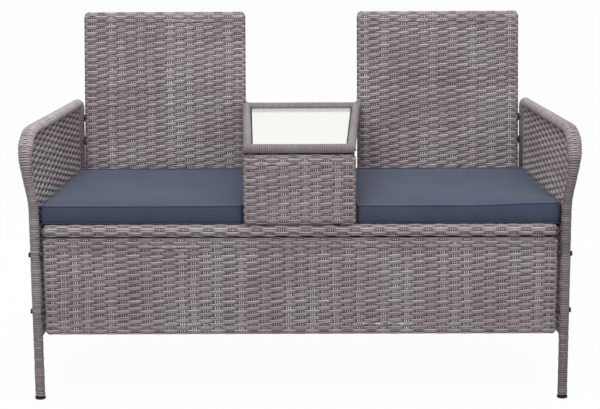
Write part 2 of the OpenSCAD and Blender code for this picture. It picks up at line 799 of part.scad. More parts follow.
module glass_pads() {
    color(CLEAR) at_tabs() translate([-thin_r - tab_reach + pad_d, 0, table_z - thin_r])
        cylinder(d = pad_d, h = pad_t - rest_gap, $fn = round_fn);
}

module table_frame() {
    color(STEEL) difference() {
        tubes(frame_runs(table_fl, table_fr, table_rl, table_rr, thin_r));
        bolt_holes(console_top_bolt_list);
    }
}

module table_wrap() {
    color(WEAVE) difference() {
        edge_wrap(table_fl, table_fr, table_rl, table_rr, thin_wrap_r);
        rods(frame_runs(table_fl, table_fr, table_rl, table_rr, thin_r), fit_gap, fit_gap);
        bolt_holes(console_top_bolt_list);
        at_tabs()
            translate([-thin_r - tab_reach, -tab_w / 2 - fit_gap, table_z - thin_r - tab_t - fit_gap])
                cube([thin_r + tab_reach + fit_gap, tab_w + 2 * fit_gap, tab_t + 2 * fit_gap]);
        for (s = [-1, 1])
            translate([s > 0 ? plate_x - fit_gap : -plate_x - plate_t - fit_gap, plate_y - cut,
                    table_z - plate_h / 2 - fit_gap])
                cube([plate_t + 2 * fit_gap, plate_len, plate_h + 2 * fit_gap]);
    }
}

// The glass keeps its gap to the wrapped tubes all round
module glass_top() {
    in = thin_wrap_r + glass_gap;
    y0 = table_front_y + in;
    y1 = table_rear_y - in;
    x0 = table_x(y0) - in;
    x1 = table_x(y1) - in;
    color(GLASS) translate([0, 0, glass_low]) linear_extrude(glass_t)
        polygon(rounded([[x1, y1], [-x1, y1], [-x0, y0], [x0, y0]], glass_corner));
}

// Points round the corner i of a flat outline, on an arc of radius r
function corner_arc(outline, i, r) =
    let (
        n = len(outline), a = outline[(i + n - 1) % n], b = outline[i], c = outline[(i + 1) % n],
        arc = bend([a[0], a[1], 0], [b[0], b[1], 0], [c[0], c[1], 0], r, corner_steps)
    )
    [for (q = arc) [q[0], q[1]]];
function rounded(outline, r) = join([for (i = [0:len(outline) - 1]) corner_arc(outline, i, r)]);

// Cushions, drawn on the right in the seat's plane; the outline runs round the widest level
cushion_y0 = cushion_front;
cushion_y1 = (back_face_y(back_foot_z) - seat_y) / cos(seat_slope) - cushion_rear;
function cushion_out_x(v) = seat_side_x(v) + deck_r + cushion_over;
cushion_corners = [
    [console_w / 2 + cushion_inner, cushion_y0], [cushion_out_x(cushion_y0), cushion_y0],
    [cushion_out_x(cushion_y1) - cushion_draw, cushion_y1],
    [console_w / 2 + cushion_inner + cushion_turn, cushion_y1],
];

// One side of the outline between two corner arcs, drawn in at its middle
function drawn_side(p, q) =
    let (d = unit(q - p), n = [-d[1], d[0]])
    [for (i = [1:cushion_side_steps - 1]) let (t = i / cushion_side_steps)
        lerp(p, q, t) + n * cushion_draw * 4 * t * (1 - t)];

function cushion_outline() =
    let (
        n = len(cushion_corners),
        arcs = [for (i = [0:n - 1]) corner_arc(cushion_corners, i, cushion_corner)]
    )
    join([for (i = [0:n - 1]) concat(arcs[i], drawn_side(arcs[i][corner_steps], arcs[(i + 1) % n][0]))]);

// Levels of the cushion as [inset, height]: flat below, round at the side, then up to the crown
cushion_levels = concat(
    [[crown_in, 0]],
    [for (i = [0:cushion_roll_steps]) let (a = 180 * i / cushion_roll_steps - 90)
        [cushion_roll * (1 - cos(a)), cushion_t / 2 * (1 + sin(a))]],
    [for (i = [1:crown_steps]) let (t = i / crown_steps)
        [lerp(cushion_roll, crown_in, t), cushion_t + cushion_crown * sin(90 * t)]]
);

module cushion() {
    outline = cushion_outline();
    n = len(outline);
    middle = [(cushion_corners[0][0] + cushion_corners[1][0] + cushion_corners[2][0]
        + cushion_corners[3][0]) / 4, (cushion_y0 + cushion_y1) / 2];
    half = [(cushion_corners[1][0] - cushion_corners[0][0]) / 2, (cushion_y1 - cushion_y0) / 2];
    levels = len(cushion_levels);
    rings = [for (l = cushion_levels) [for (p = outline) [
        middle[0] + (p[0] - middle[0]) * (1 - l[0] / half[0]),
        middle[1] + (p[1] - middle[1]) * (1 - l[0] / half[1]), l[1],
    ]]];
    low = levels * n;
    walls = [for (i = [0:levels - 2]) for (k = [0:n - 1]) let (
        a = i * n + k, b = i * n + (k + 1) % n, c = a + n, d = b + n
    ) each [[a, c, d], [a, d, b]]];
    lids = [for (k = [0:n - 1]) let (a = k, b = (k + 1) % n, top = (levels - 1) * n)
        each [[a, b, low], [top + a, low + 1, top + b]]];
    color(FABRIC) in_seat() translate([0, 0, deck_r + soft_gap]) polyhedron(
        points = concat(join(rings), [[middle[0], middle[1], 0],
            [middle[0], middle[1], cushion_t + cushion_crown]]),
        faces = concat(walls, lids));
}

mirror([1, 0, 0]) arm_tube();  // left_arm_tube
arm_tube();  // right_arm_tube
mirror([1, 0, 0]) arm_rails();  // left_arm_rails
arm_rails();  // right_arm_rails
mirror([1, 0, 0]) arm_wrap();  // left_arm_wrap
arm_wrap();  // right_arm_wrap
mirror([1, 0, 0]) side_weave();  // left_side_weave
side_weave();  // right_side_weave
mirror([1, 0, 0]) front_foot();  // front_left_foot
front_foot();  // front_right_foot
mirror([1, 0, 0]) rear_foot();  // rear_left_foot
rear_foot();  // rear_right_foot
seat_frame();
seat_bars();
seat_weave();
back_frame(-1);  // left_back_frame
back_frame(1);  // right_back_frame
back_weave(-1);  // left_back_weave
back_weave(1);  // right_back_weave
apron_frame();
apron_bars();
apron_weave();
console_frame();
console_weave();
table_frame();
table_wrap();
table_plates();
glass_tabs();
glass_pads();
glass_top();
color(BLACK) bolts(seat_side_bolt_list);  // seat_side_bolts
color(BLACK) spacers(seat_side_spacer_list);  // seat_side_spacers
color(BLACK) bolts(back_arm_bolt_list);  // back_arm_bolts
color(BLACK) spacers(back_arm_spacer_list);  // back_arm_spacers
color(BLACK) bolts(back_foot_bolt_list);  // back_foot_bolts
color(BLACK) spacers(back_foot_spacer_list);  // back_foot_spacers
color(BLACK) bolts(table_plate_bolt_list);  // table_plate_bolts
color(BLACK) bolts(console_top_bolt_list);  // console_top_bolts
color(BLACK) bolts(console_low_bolt_list);  // console_low_bolts
color(BLACK) spacers(console_spacer_list);  // console_spacers
color(BLACK) bolts(apron_seat_bolt_list);  // apron_seat_bolts
color(BLACK) spacers(apron_seat_spacer_list);  // apron_seat_spacers
color(BLACK) bolts(apron_leg_bolt_list);  // apron_leg_bolts
color(BLACK) spacers(apron_leg_spacer_list);  // apron_leg_spacers
mirror([1, 0, 0]) cushion();  // left_cushion
cushion();  // right_cushion
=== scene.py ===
"""Looks of the rattan bench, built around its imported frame.

Lengths are in mm until a mesh is made. Left is the viewer's left, -X, and the front faces -Y.
"""

import json
import math

import bpy
import numpy as np
from mathutils import Matrix, Vector

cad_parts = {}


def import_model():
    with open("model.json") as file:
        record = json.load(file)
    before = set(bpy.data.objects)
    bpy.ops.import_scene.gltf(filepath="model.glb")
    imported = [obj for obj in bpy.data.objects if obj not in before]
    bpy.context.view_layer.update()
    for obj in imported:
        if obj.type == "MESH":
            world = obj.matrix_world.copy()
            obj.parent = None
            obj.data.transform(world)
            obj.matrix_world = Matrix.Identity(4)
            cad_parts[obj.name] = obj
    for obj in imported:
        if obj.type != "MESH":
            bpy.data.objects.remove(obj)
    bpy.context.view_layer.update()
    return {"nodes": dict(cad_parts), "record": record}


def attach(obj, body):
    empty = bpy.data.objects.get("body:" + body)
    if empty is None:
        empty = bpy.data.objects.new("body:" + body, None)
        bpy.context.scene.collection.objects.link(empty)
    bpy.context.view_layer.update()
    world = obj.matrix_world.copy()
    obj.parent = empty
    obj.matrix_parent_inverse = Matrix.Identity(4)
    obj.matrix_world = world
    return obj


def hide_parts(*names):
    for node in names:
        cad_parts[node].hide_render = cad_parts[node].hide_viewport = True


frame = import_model()
MM = 0.001
SIDES = ((-1, "left"), (1, "right"))

# Sizes of the part's source
LEG_X, LEG_Y, CORNER_X = 628.0, 263.0, 660.0
REAR_TOP_X, REAR_TOP_Y, REAR_LEAN, REAR_SPREAD = 563.0, 205.0, 58.0, 8.0
ARM_FRONT_Z, ARM_REAR_Z, FLARE_Z, LEG_FLARE = 645.0, 623.0, 490.0, 32.0
ARM_FRONT_BEND, ARM_REAR_BEND, FLARE_BEND = 105.0, 25.0, 260.0
ARM_W, ARM_WIDEN = 36.0, 0.75
TUBE_R, THIN_R = 9.5, 8.0
WRAP_R, THIN_WRAP_R, DECK_R = 12.0, 10.5, 13.0
EDGE_PROUD, SHEET_T = 1.0, 6.0
LOW_RAIL_Z, SIDE_SHIFT = 160.0, 2.0
SEAT_LEN, SEAT_SLOPE = 426.0, math.radians(2.5)
SEAT_Y, SEAT_Z = -261.0, 417.0
RECLINE = math.radians(11.9)
BACK_HALF, BACK_MID_X = 191.5, 344.5
BACK_Y = SEAT_Y + SEAT_LEN * math.cos(SEAT_SLOPE)
BACK_Z = SEAT_Z - SEAT_LEN * math.sin(SEAT_SLOPE) + DECK_R + 3.0 + WRAP_R
BACK_H = (847.0 - WRAP_R - BACK_Z) / math.cos(RECLINE)
APRON_X, APRON_LOW, APRON_HIGH = 598.5, 171.5, 391.0
CONSOLE_X, CONSOLE_LOW, CONSOLE_HIGH = 121.5, 443.5, 592.5
TABLE_Z, TABLE_FRONT_X = 616.5, 121.5

# Distances between the rows and between the stakes of each weave, and between the three strands of a stake
ROW, SEAT_ROW = 8.2, 9.4
COLUMN, BACK_COLUMN, CONSOLE_COLUMN, SIDE_COLUMN, SEAT_COLUMN = 28.3, 25.2, 26.0, 27.0, 28.8
STRIP, STRIPS = 4.72, (-1, 0, 1)

# Half widths and half thicknesses of the weavers, of the stakes' strands and of the dark ribbons of painted
# shadow behind them
WEFT_W, WEFT_H = 2.1, 1.15
WARP_W, WARP_H = 1.45, 0.95
RIBBON_W, RIBBON_H, SIDE_RIBBON_W = 2.3, 0.25, 1.7
# A strand's section, from edge to edge
FACE = np.array([(-1, 0), (-0.55, 0.87), (0.55, 0.87), (1, 0), (0.55, -0.87), (-0.55, -0.87)])
PER_TURN = 14

# How strands lie in a panel: half the weavers' swing on the flat and over a tube, the stakes' swing, how
# far a pair of weavers opens in front of a stake, how far a pass slants, and how far stakes and rows wander
FLAT_SWING, RIM_SWING, STAKE_SWING = 1.6, 1.1, 0.8
OPENING, SLANT = 0.3, 0.9
STAKE_WANDER, ROW_WANDER = 2.3, 2.6
# Where a sheet starts to rise to its edge tube, and over which length
RIM_REACH, RIM_RISE = 18, 10

# Painted shade and highlight: shades run from 0, deep in the weave, over 1, proud, to 1.25, a bright stake.
# The ramp's range is 0 to 1.
SHADE_TO_RAMP, BRIGHTEST = 0.8, 1.25
# painted shadow for the dark ribbons and strips in gaps, the ribbons' painted shade, and the painted shade
# levels of plain strands and windings
PAINTED_SHADOW, RIBBON_SHADE, PLAIN_SHADE, WOUND_SHADE = 0.0, 0.13, 0.78, 0.82


def unit(v):
    return v / np.linalg.norm(v, axis=-1, keepdims=True)


def smooth(t):
    t = np.clip(t, 0, 1)
    return t * t * (3 - 2 * t)


def lerp(a, b, t):
    return a + (b - a) * t


def ripple(a, b, seed):
    """A slow irregularity between -1 and 1 over a surface."""
    return (np.sin(a / 83 + b / 61 + seed) + 0.7 * np.sin(a / 37 - b / 90 + 2.3 * seed)
            + 0.5 * np.sin(a / 151 + b / 29 + 3.1 * seed)) / 2.2


def hashed(a, b, seed=0.0):
    """A number from 0 to 1 that differs from cell to cell."""
    s = np.sin(a * 12.9898 + b * 78.233 + seed * 37.719) * 43758.5453
    return s - np.floor(s)


# Strands
class Strands:
    """Collects swept strands and makes one mesh of them."""

    def __init__(self):
        self.points, self.quads, self.caps, self.marks, self.shades = [], [], [], [], []
        self.count = 0

    def sweep(self, centre, out, half_w, half_h, seed=0.0, shade=PLAIN_SHADE):
        """Adds strands along rows of centre points, flat side towards out.

        centre and out are (strands, points, 3). The rest is a number or one for each point.
        """
        s, n = centre.shape[:2]
        m = len(FACE)
        run = unit(np.gradient(centre, axis=1))
        across = unit(np.cross(run, out))
        up = np.cross(across, run)
        a, b = FACE[:, 0], FACE[:, 1]
        w = np.broadcast_to(np.asarray(half_w, float), (s, n))[:, :, None, None]
        h = np.broadcast_to(np.asarray(half_h, float), (s, n))[:, :, None, None]
        pts = (centre[:, :, None] + a[None, None, :, None] * w * across[:, :, None]
               + b[None, None, :, None] * h * up[:, :, None])
        step = np.linalg.norm(np.diff(centre, axis=1), axis=2)
        along = np.concatenate([np.zeros((s, 1)), np.cumsum(step, axis=1)], axis=1)
        tone = hashed(np.arange(s), np.floor(centre[:, 0, 2]), seed)[:, None]
        marks = np.empty((s, n, m, 3), np.float32)
        marks[..., 0] = (along + tone * 900)[:, :, None]
        marks[..., 1] = a[None, None] + 3 * (b[None, None] < 0)
        marks[..., 2] = tone[:, :, None]
        ring = np.arange(s)[:, None, None] * n + np.arange(n)[None, :, None]
        base = self.count + ring * m + np.arange(m)
        nxt = np.roll(base, -1, axis=2)
        quads = np.stack([base[:, :-1], nxt[:, :-1], nxt[:, 1:], base[:, 1:]], axis=-1)
        self.points.append(pts.reshape(-1, 3))
        self.marks.append(marks.reshape(-1, 3))
        depth = np.broadcast_to(np.asarray(shade, float), (s, n))
        self.shades.append(np.repeat(depth.reshape(-1), m))
        self.quads.append(quads.reshape(-1, 4))
        self.caps.append(base[:, 0, ::-1].reshape(-1, m))
        self.caps.append(base[:, -1].reshape(-1, m))
        self.count += s * n * m

    def mesh(self, name, nodes, body="frame", material=None):
        v = np.concatenate(self.points) * MM
        quads, caps = np.concatenate(self.quads), np.concatenate(self.caps)
        data = bpy.data.meshes.new(name)
        data.vertices.add(len(v))
        data.vertices.foreach_set("co", v.astype(np.float32).ravel())
        loops = np.concatenate([quads.ravel(), caps.ravel()]).astype(np.int32)
        data.loops.add(len(loops))
        data.loops.foreach_set("vertex_index", loops)
        starts = np.concatenate([np.arange(len(quads)) * 4,
                                 len(quads) * 4 + np.arange(len(caps)) * caps.shape[1]])
        data.polygons.add(len(starts))
        data.polygons.foreach_set("loop_start", starts.astype(np.int32))
        data.polygons.foreach_set("use_smooth", np.ones(len(starts), bool))
        data.update(calc_edges=True)
        mark = data.attributes.new("strand", "FLOAT_VECTOR", "POINT")
        mark.data.foreach_set("vector", np.concatenate(self.marks).astype(np.float32).ravel())
        deep = data.attributes.new("shade", "FLOAT", "POINT")
        deep.data.foreach_set("value", (SHADE_TO_RAMP * np.concatenate(self.shades)).astype(np.float32))
        return placed(name, data, nodes, body, material or WICKER)


def placed(name, data, nodes, body, material):
    """Links a mesh as a piece of its own, on its body and in place of the CAD nodes."""
    ob = bpy.data.objects.new(name, data)
    bpy.context.scene.collection.objects.link(ob)
    data.materials.append(material)
    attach(ob, body)
    if nodes:
        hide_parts(*nodes)
    return ob


# Materials
def new_material(name):
    m = bpy.data.materials.new(name)
    m.use_nodes = True
    nodes, links = m.node_tree.nodes, m.node_tree.links
    return m, nodes, links, nodes["Principled BSDF"]


def grey(value):
    return (value,) * 3


def noise(nodes, links, vector, scale, detail):
    n = nodes.new("ShaderNodeTexNoise")
    n.inputs["Scale"].default_value = scale
    n.inputs["Detail"].default_value = detail
    n.inputs["Roughness"].default_value = 0.5
    links.new(vector, n.inputs["Vector"])
    return n.outputs["Fac"]


def ramp(nodes, links, value, stops):
    r = nodes.new("ShaderNodeValToRGB")
    while len(r.color_ramp.elements) < len(stops):
        r.color_ramp.elements.new(0.5)
    for e, (at, colour) in zip(r.color_ramp.elements, stops):
        e.position = at
        e.color = (*colour, 1)
    links.new(value, r.inputs["Fac"])
    return r.outputs["Color"]


def mixed(nodes, links, kind, fac, a, b):
    m = nodes.new("ShaderNodeMix")
    m.data_type, m.blend_type = "RGBA", kind
    for socket, v in (("Factor", fac), ("A", a), ("B", b)):
        target = [i for i in m.inputs if i.name == socket and i.enabled][0]
        if isinstance(v, bpy.types.NodeSocket):
            links.new(v, target)
        else:
            target.default_value = v
    return [o for o in m.outputs if o.enabled][0]


def bump(nodes, links, bsdf, height, distance, strength):
    b = nodes.new("ShaderNodeBump")
    b.inputs["Distance"].default_value = distance
    b.inputs["Strength"].default_value = strength
    links.new(height, b.inputs["Height"])
    links.new(b.outputs["Normal"], bsdf.inputs["Normal"])


def stretched(nodes, links, vector, scale):
    m = nodes.new("ShaderNodeVectorMath")
    m.operation = "MULTIPLY"
    m.inputs[1].default_value = scale
    links.new(vector, m.inputs[0])
    return m.outputs["Vector"]


def wicker_material():
    """Resin strands: tone by strand, streaks along it, and painted shade and highlights from the shade
    attribute.
    """
    m, nodes, links, bsdf = new_material("wicker")
    strand = nodes.new("ShaderNodeAttribute")
    strand.attribute_name = "strand"
    place = nodes.new("ShaderNodeTexCoord").outputs["Object"]
    split = nodes.new("ShaderNodeSeparateXYZ")
    links.new(strand.outputs["Vector"], split.inputs[0])
    patches = ramp(nodes, links, noise(nodes, links, place, 7, 3), [
        (0.34, (0.203, 0.171, 0.180)), (0.5, (0.226, 0.194, 0.202)), (0.66, (0.236, 0.217, 0.217))])
    tones = ramp(nodes, links, split.outputs["Z"], [
        (0.0, (0.80, 0.79, 0.80)), (0.5, grey(1.0)), (1.0, (1.18, 1.17, 1.16))])
    colour = mixed(nodes, links, "MULTIPLY", 1.0, patches, tones)
    lengthwise = stretched(nodes, links, strand.outputs["Vector"], (0.035, 3.2, 5.0))
    grain = noise(nodes, links, lengthwise, 1.0, 3)
    streaks = ramp(nodes, links, grain, [
        (0.30, (0.66, 0.64, 0.65)), (0.5, grey(1.0)), (0.72, (1.28, 1.27, 1.27))])
    colour = mixed(nodes, links, "MULTIPLY", 0.85, colour, streaks)
    # painted shade and highlights: the shade attribute darkens strands deep in the weave and lightens proud
    # strands and bright stakes
    deep = nodes.new("ShaderNodeAttribute")
    deep.attribute_name = "shade"
    painted_shading = ramp(nodes, links, deep.outputs["Fac"], [
        (0.0, (0.05, 0.04, 0.04)), (0.32, (0.52, 0.48, 0.50)), (0.64, grey(1.1)), (0.8, grey(1.85)),
        (1.0, grey(3.2))])
    colour = mixed(nodes, links, "MULTIPLY", 1.0, colour, painted_shading)
    links.new(colour, bsdf.inputs["Base Color"])
    gloss = ramp(nodes, links, grain, [(0.3, grey(0.58)), (0.7, grey(0.40))])
    links.new(gloss, bsdf.inputs["Roughness"])
    bsdf.inputs["Specular IOR Level"].default_value = 0.35
    bump(nodes, links, bsdf, grain, 0.0004, 0.5)
    return m


def plain_material(name, colour, roughness, metallic, grain, spread, depth):
    """One colour with slow blotches and a fine grain. depth is the grain's height in metres."""
    m, nodes, links, bsdf = new_material(name)
    place = nodes.new("ShaderNodeTexCoord").outputs["Object"]
    fine = noise(nodes, links, place, grain, 3)
    low = [c * (1 - spread) for c in colour]
    high = [min(1, c * (1 + spread)) for c in colour]
    blotches = ramp(nodes, links, noise(nodes, links, place, 40, 4), [(0.3, low), (0.7, high)])
    links.new(blotches, bsdf.inputs["Base Color"])
    gloss = ramp(nodes, links, fine, [(0.3, grey(roughness * 0.85)), (0.7, grey(min(1, roughness * 1.15)))])
    links.new(gloss, bsdf.inputs["Roughness"])
    bsdf.inputs["Metallic"].default_value = metallic
    bump(nodes, links, bsdf, fine, depth, 0.6)
    return m


def fabric_material(name, tint):
    """Woven polyester: crossing yarns and flecks over slow blotches."""
    m, nodes, links, bsdf = new_material(name)
    place = nodes.new("ShaderNodeTexCoord").outputs["Object"]
    blotch = noise(nodes, links, place, 9, 3)
    # tint scales the cloth's colour; above 1 it is a painted highlight
    low, high = ([c * tint for c in shade] for shade in ((0.036, 0.049, 0.089), (0.045, 0.058, 0.101)))
    colour = ramp(nodes, links, blotch, [(0.32, low), (0.68, high)])
    yarns = []
    for direction in ("X", "Y"):
        w = nodes.new("ShaderNodeTexWave")
        w.wave_type, w.bands_direction = "BANDS", direction
        w.inputs["Scale"].default_value = 330
        w.inputs["Distortion"].default_value = 0.6
        w.inputs["Detail"].default_value = 1
        links.new(place, w.inputs["Vector"])
        yarns.append(w.outputs["Fac"])
    both = nodes.new("ShaderNodeMath")
    both.operation = "MULTIPLY"
    links.new(yarns[0], both.inputs[0])
    links.new(yarns[1], both.inputs[1])
    flecks = noise(nodes, links, stretched(nodes, links, place, (60, 500, 500)), 1.0, 2)
    colour = mixed(nodes, links, "MULTIPLY", 0.35, colour,
                   ramp(nodes, links, flecks, [(0.3, (0.75, 0.76, 0.78)), (0.7, grey(1.2))]))
    colour = mixed(nodes, links, "MULTIPLY", 0.25, colour,
                   ramp(nodes, links, both.outputs[0], [(0.0, (0.7, 0.7, 0.72)), (0.8, grey(1.15))]))
    links.new(colour, bsdf.inputs["Base Color"])
    bsdf.inputs["Roughness"].default_value = 0.82
    bsdf.inputs["Sheen Weight"].default_value = 0.12
    bsdf.inputs["Sheen Roughness"].default_value = 0.5
    bump(nodes, links, bsdf, both.outputs[0], 0.0003, 0.35)
    return m


def glass_material():
    """The pane with its pale, opaque under side."""
    m, nodes, links, bsdf = new_material("glass_pane")
    place = nodes.new("ShaderNodeTexCoord").outputs["Object"]
    tint = ramp(nodes, links, noise(nodes, links, place, 6, 2), [
        (0.3, (0.65, 0.66, 0.61)), (0.7, (0.67, 0.675, 0.625))])
    links.new(tint, bsdf.inputs["Base Color"])
    bsdf.inputs["Roughness"].default_value = 0.08
    bsdf.inputs["Coat Weight"].default_value = 0.6
    bsdf.inputs["Coat Roughness"].default_value = 0.03
    return m


WICKER = wicker_material()
STEEL = plain_material("powder_coat", (0.020, 0.020, 0.022), 0.45, 0.0, 1400, 0.2, 0.00004)
PLASTIC = plain_material("black_moulded", grey(0.014), 0.5, 0.0, 700, 0.2, 0.00003)
BOLT = plain_material("black_screw", (0.018, 0.018, 0.019), 0.35, 0.6, 600, 0.25, 0.00002)
PAD = plain_material("clear_pad", (0.62, 0.64, 0.64), 0.3, 0.0, 500, 0.05, 0.00001)
FABRIC = fabric_material("cushion_cloth", 1.0)
# a lighter copy of the cushion cloth for the top seam's welt: painted highlight
LIT_SEAM_CLOTH = fabric_material("cushion_seam_painted_highlight", 1.8)
GLASS = glass_material()


# The camera
def make_camera():
    """The photograph's view, solved from matching points of the bench."""
    data = bpy.data.cameras.new("camera")
    data.sensor_width, data.lens = 36, 138.70
    data.clip_start, data.clip_end = 0.1, 60
    yaw, pitch, roll = math.radians(-0.695), math.radians(15.217), math.radians(-0.371)
    ahead = Vector((math.sin(yaw) * math.cos(pitch), math.cos(yaw) * math.cos(pitch), -math.sin(pitch)))
    level = Vector((math.cos(yaw), -math.sin(yaw), 0))
    over = level.cross(ahead)
    right = math.cos(roll) * level + math.sin(roll) * over
    up = -math.sin(roll) * level + math.cos(roll) * over
    cam = bpy.data.objects.new("camera", data)
    turn = Matrix((right, up, -ahead)).transposed().to_4x4()
    cam.matrix_world = Matrix.Translation((0.0643, -5.513, 1.9097)) @ turn
    bpy.context.scene.collection.objects.link(cam)
    bpy.context.scene.camera = cam


make_camera()


# Woven panels
FRONT_LONGER, STEEPNESS = 0.55, 1.5


def over_under(col, row):
    """From below 0, behind the stake, to 1, in front of it. A weaver is longer in front than behind."""
    c = np.cos(np.pi * (col + row)) + FRONT_LONGER
    return np.tanh(STEEPNESS * c) / math.tanh(STEEPNESS * (1 + FRONT_LONGER))


# painted shade: a weaver is darker where it dives behind a stake and lighter where it stands proud
def weaver_shade(cell):
    return np.where(cell > 0, 0.62 + 0.38 * cell, 0.62 + 0.95 * cell)


# painted highlight: the stakes are lit brighter, a little more where they stand in front
def stake_shade(back):
    return 1.0 + 0.12 * back


def stacked(x, y, z):
    return np.stack(np.broadcast_arrays(x, y, z), axis=-1)


def round_edge(s, half, reach, depth):
    """Position and depth of a strand that crosses a panel from edge tube to edge tube and goes round both."""
    side = np.sign(s)
    past = np.abs(s) - half
    turn = np.maximum(past, 0) / reach
    arc_x = np.where(past > 0, half + reach * np.sin(turn), np.abs(s))
    arc_d = np.where(past > 0, reach * np.cos(turn), reach)
    t = smooth((past + 5) / 7)
    x = lerp(np.abs(s), arc_x, t) * side
    d = lerp(depth, arc_d, t)
    nx = np.where(past > 0, np.sin(turn), 0) * t * side
    nd = np.where(past > 0, np.cos(turn), 1) * t + (1 - t)
    return x, d, nx, nd


def panel(name, node, half, low, high, wound, tube, column, place, turn, seed, seam=0.0):
    """A woven panel over four tubes. Its own frame is x across, z up and d to the front.

    half, low and high are the tubes' middles. wound is the radius of a wound tube and tube that of a bare
    one. seam is the gap above the panel's top tube that a dark ribbon of painted shadow closes.
    """
    flat, rim = wound - EDGE_PROUD - SHEET_T / 2, tube + 0.8
    reach = wound - 0.3
    margin, foot = 7, low - 1
    gaps = round((2 * half - 2 * margin) / column)
    column = (2 * half - 2 * margin) / gaps
    first = -half + margin
    rows = round((high - low) / ROW)
    pitch = (high - low - 1) / rows

    def rim_share(x, z):
        """1 over the edge tubes and 0 on the flat between them."""
        upright = smooth((np.abs(x) - half + RIM_REACH) / RIM_RISE)
        top = smooth((z - high + RIM_REACH) / RIM_RISE)
        bottom = smooth((low + RIM_REACH - z) / RIM_RISE)
        return np.maximum(upright, np.maximum(top, bottom))

    def sheet(x, z):
        return lerp(flat, rim, rim_share(x, z))

    def warped(x, z):
        inside = 1 - rim_share(x, z)
        return (x + STAKE_WANDER * ripple(z * 2.5, x, seed) * inside,
                z + ROW_WANDER * ripple(x, z, seed + 1) * inside)

    def world(x, d, z, nx, nd, nz):
        return place(stacked(x, -d, z)), turn(stacked(nx, -nd, nz))

    def warped_world(x, d, z, nx, nd, nz):
        x, z = warped(x, z)
        return world(x, d, z, nx, nd, nz)

    def over_edge(z, d):
        """Bends what runs past the top or the bottom tube round that tube. Also gives the angle turned by."""
        edge = np.clip(z, low, high)
        a = (z - edge) / rim
        return edge + d * np.sin(a), d * np.cos(a), a

    weft = Strands()
    per = 5
    flat_s = first + np.arange(-1, gaps * per + 2) / per * column
    round_s = half + np.linspace(0, math.radians(205), 9)[1:] * reach
    whole = np.concatenate([-round_s[::-1], flat_s, round_s])
    turned_rows = np.array([-3, -2, -1, rows + 1, rows + 2, rows + 3])
    for s, k in ((whole[None, :], np.arange(rows + 1)[:, None]), (flat_s[None, :], turned_rows[:, None])):
        z0 = foot + k * pitch
        at_rim = rim_share(s, z0)
        col = (s - first) / column
        cell = over_under(col, k)
        front = np.maximum(cell, 0)
        swing = lerp(FLAT_SWING, RIM_SWING, at_rim) * (0.85 + 0.3 * hashed(np.round(col), k, seed))
        # painted light from above: the upper strand of each pair is lighter and the lower one darker
        for side, painted_top_light in ((-1, -0.16), (1, 0.14)):
            z = z0 + side * (pitch / 4 + OPENING * front) + 0.25 * (hashed(k, 0 * s, seed) - 0.5)
            z = z + SLANT * np.sin(np.pi * (col + k)) * (1 - at_rim)
            x, d, nx, nd = round_edge(s, half, reach, lerp(flat, rim, at_rim) + swing * cell)
            x, z = warped(x, z)
            z, d, a = over_edge(z, d)
            weft.sweep(*world(x, d, z, nx, nd * np.cos(a), nd * np.sin(a)), WEFT_W + 0.2 * front, WEFT_H,
                       seed + side, np.minimum(1, weaver_shade(cell) + painted_top_light))
    weft.mesh(name + "_weavers", [node])

    warp = Strands()
    t = (foot + np.arange(-6, 2 * rows + 7) / 2 * pitch)[None, :]
    i = np.arange(gaps + 1)[:, None]
    x0 = first + i * column
    back = -over_under(i, (t - low + 1) / pitch)
    for strip in STRIPS:
        uneven = 0.26 * (hashed(i, 0 * t, seed) - 0.4) + 0.14 * ripple(1.5 * t, 7 * x0 + 11 * strip, seed)
        x, z = warped(x0 + strip * STRIP + 0 * t, t + 0 * x0)
        z, d, a = over_edge(z, sheet(x0, t) + STAKE_SWING * back)
        # the stakes carry a painted highlight, unevenly from stake to stake
        warp.sweep(*world(x, d, z, 0, np.cos(a), np.sin(a)), WARP_W, WARP_H, seed + 3 + strip,
                   np.minimum(BRIGHTEST, stake_shade(back) + uneven))
    # dark ribbons behind the weavers, between the rows: painted shadow in the seams between rows
    shadow(warp, warped_world, np.linspace(-half + 4, half - 4, 2 * gaps + 1),
           low + (np.arange(rows - 1) + 0.5) * pitch, lambda x, z: sheet(x, z) - 0.5, RIBBON_W, RIBBON_SHADE)
    # a dark ribbon of painted shadow closes the seam above the top tube
    if seam:
        shadow(warp, world, np.linspace(-half - 8, half + 8, 3), [high + wound + seam / 2],
               lambda x, z: 0 * x - 3, seam / 2 + 1.5, PAINTED_SHADOW)
    corners(name, half, low, high, wound, place)
    warp.mesh(name + "_stakes", [node])


def corners(name, half, low, high, wound, place):
    """The short windings that close a panel's four corners, each with a rounded outer end."""
    inset, length = 4, wound * 0.97

    def rounded(u):
        return np.sqrt(np.maximum(0.02, 1 - np.maximum(0, (u - inset) / length) ** 2)) * (wound - 0.9)

    ends = Strands()
    for x in (-half, half):
        for sign, edge in ((1, high), (-1, low)):
            path = np.array([[x, 0, edge - sign * inset], [x, 0, edge + sign * wound * 0.96]])
            winding(ends, place(path), rounded, pitch=3.4, half_w=1.9, half_h=0.9)
    ends.mesh(name + "_corners", [])


def shadow(strands, world, x, z, depth, half_w, shade):
    """Adds dark level ribbons at the heights z: painted shadow that keeps daylight out of the seams of a
    weave.
    """
    x, z = np.broadcast_arrays(np.asarray(x, float)[None, :], np.asarray(z, float)[:, None])
    strands.sweep(*world(x, depth(x, z), z, 0, 1, 0), half_w, RIBBON_H, 0.0, shade)


def along_path(path):
    """Lengths along a path from its first point."""
    return np.concatenate([[0], np.cumsum(np.linalg.norm(np.diff(path, axis=0), axis=1))])


def interpolated(u, lengths, values):
    return np.stack([np.interp(u, lengths, values[:, j]) for j in range(3)], axis=-1)


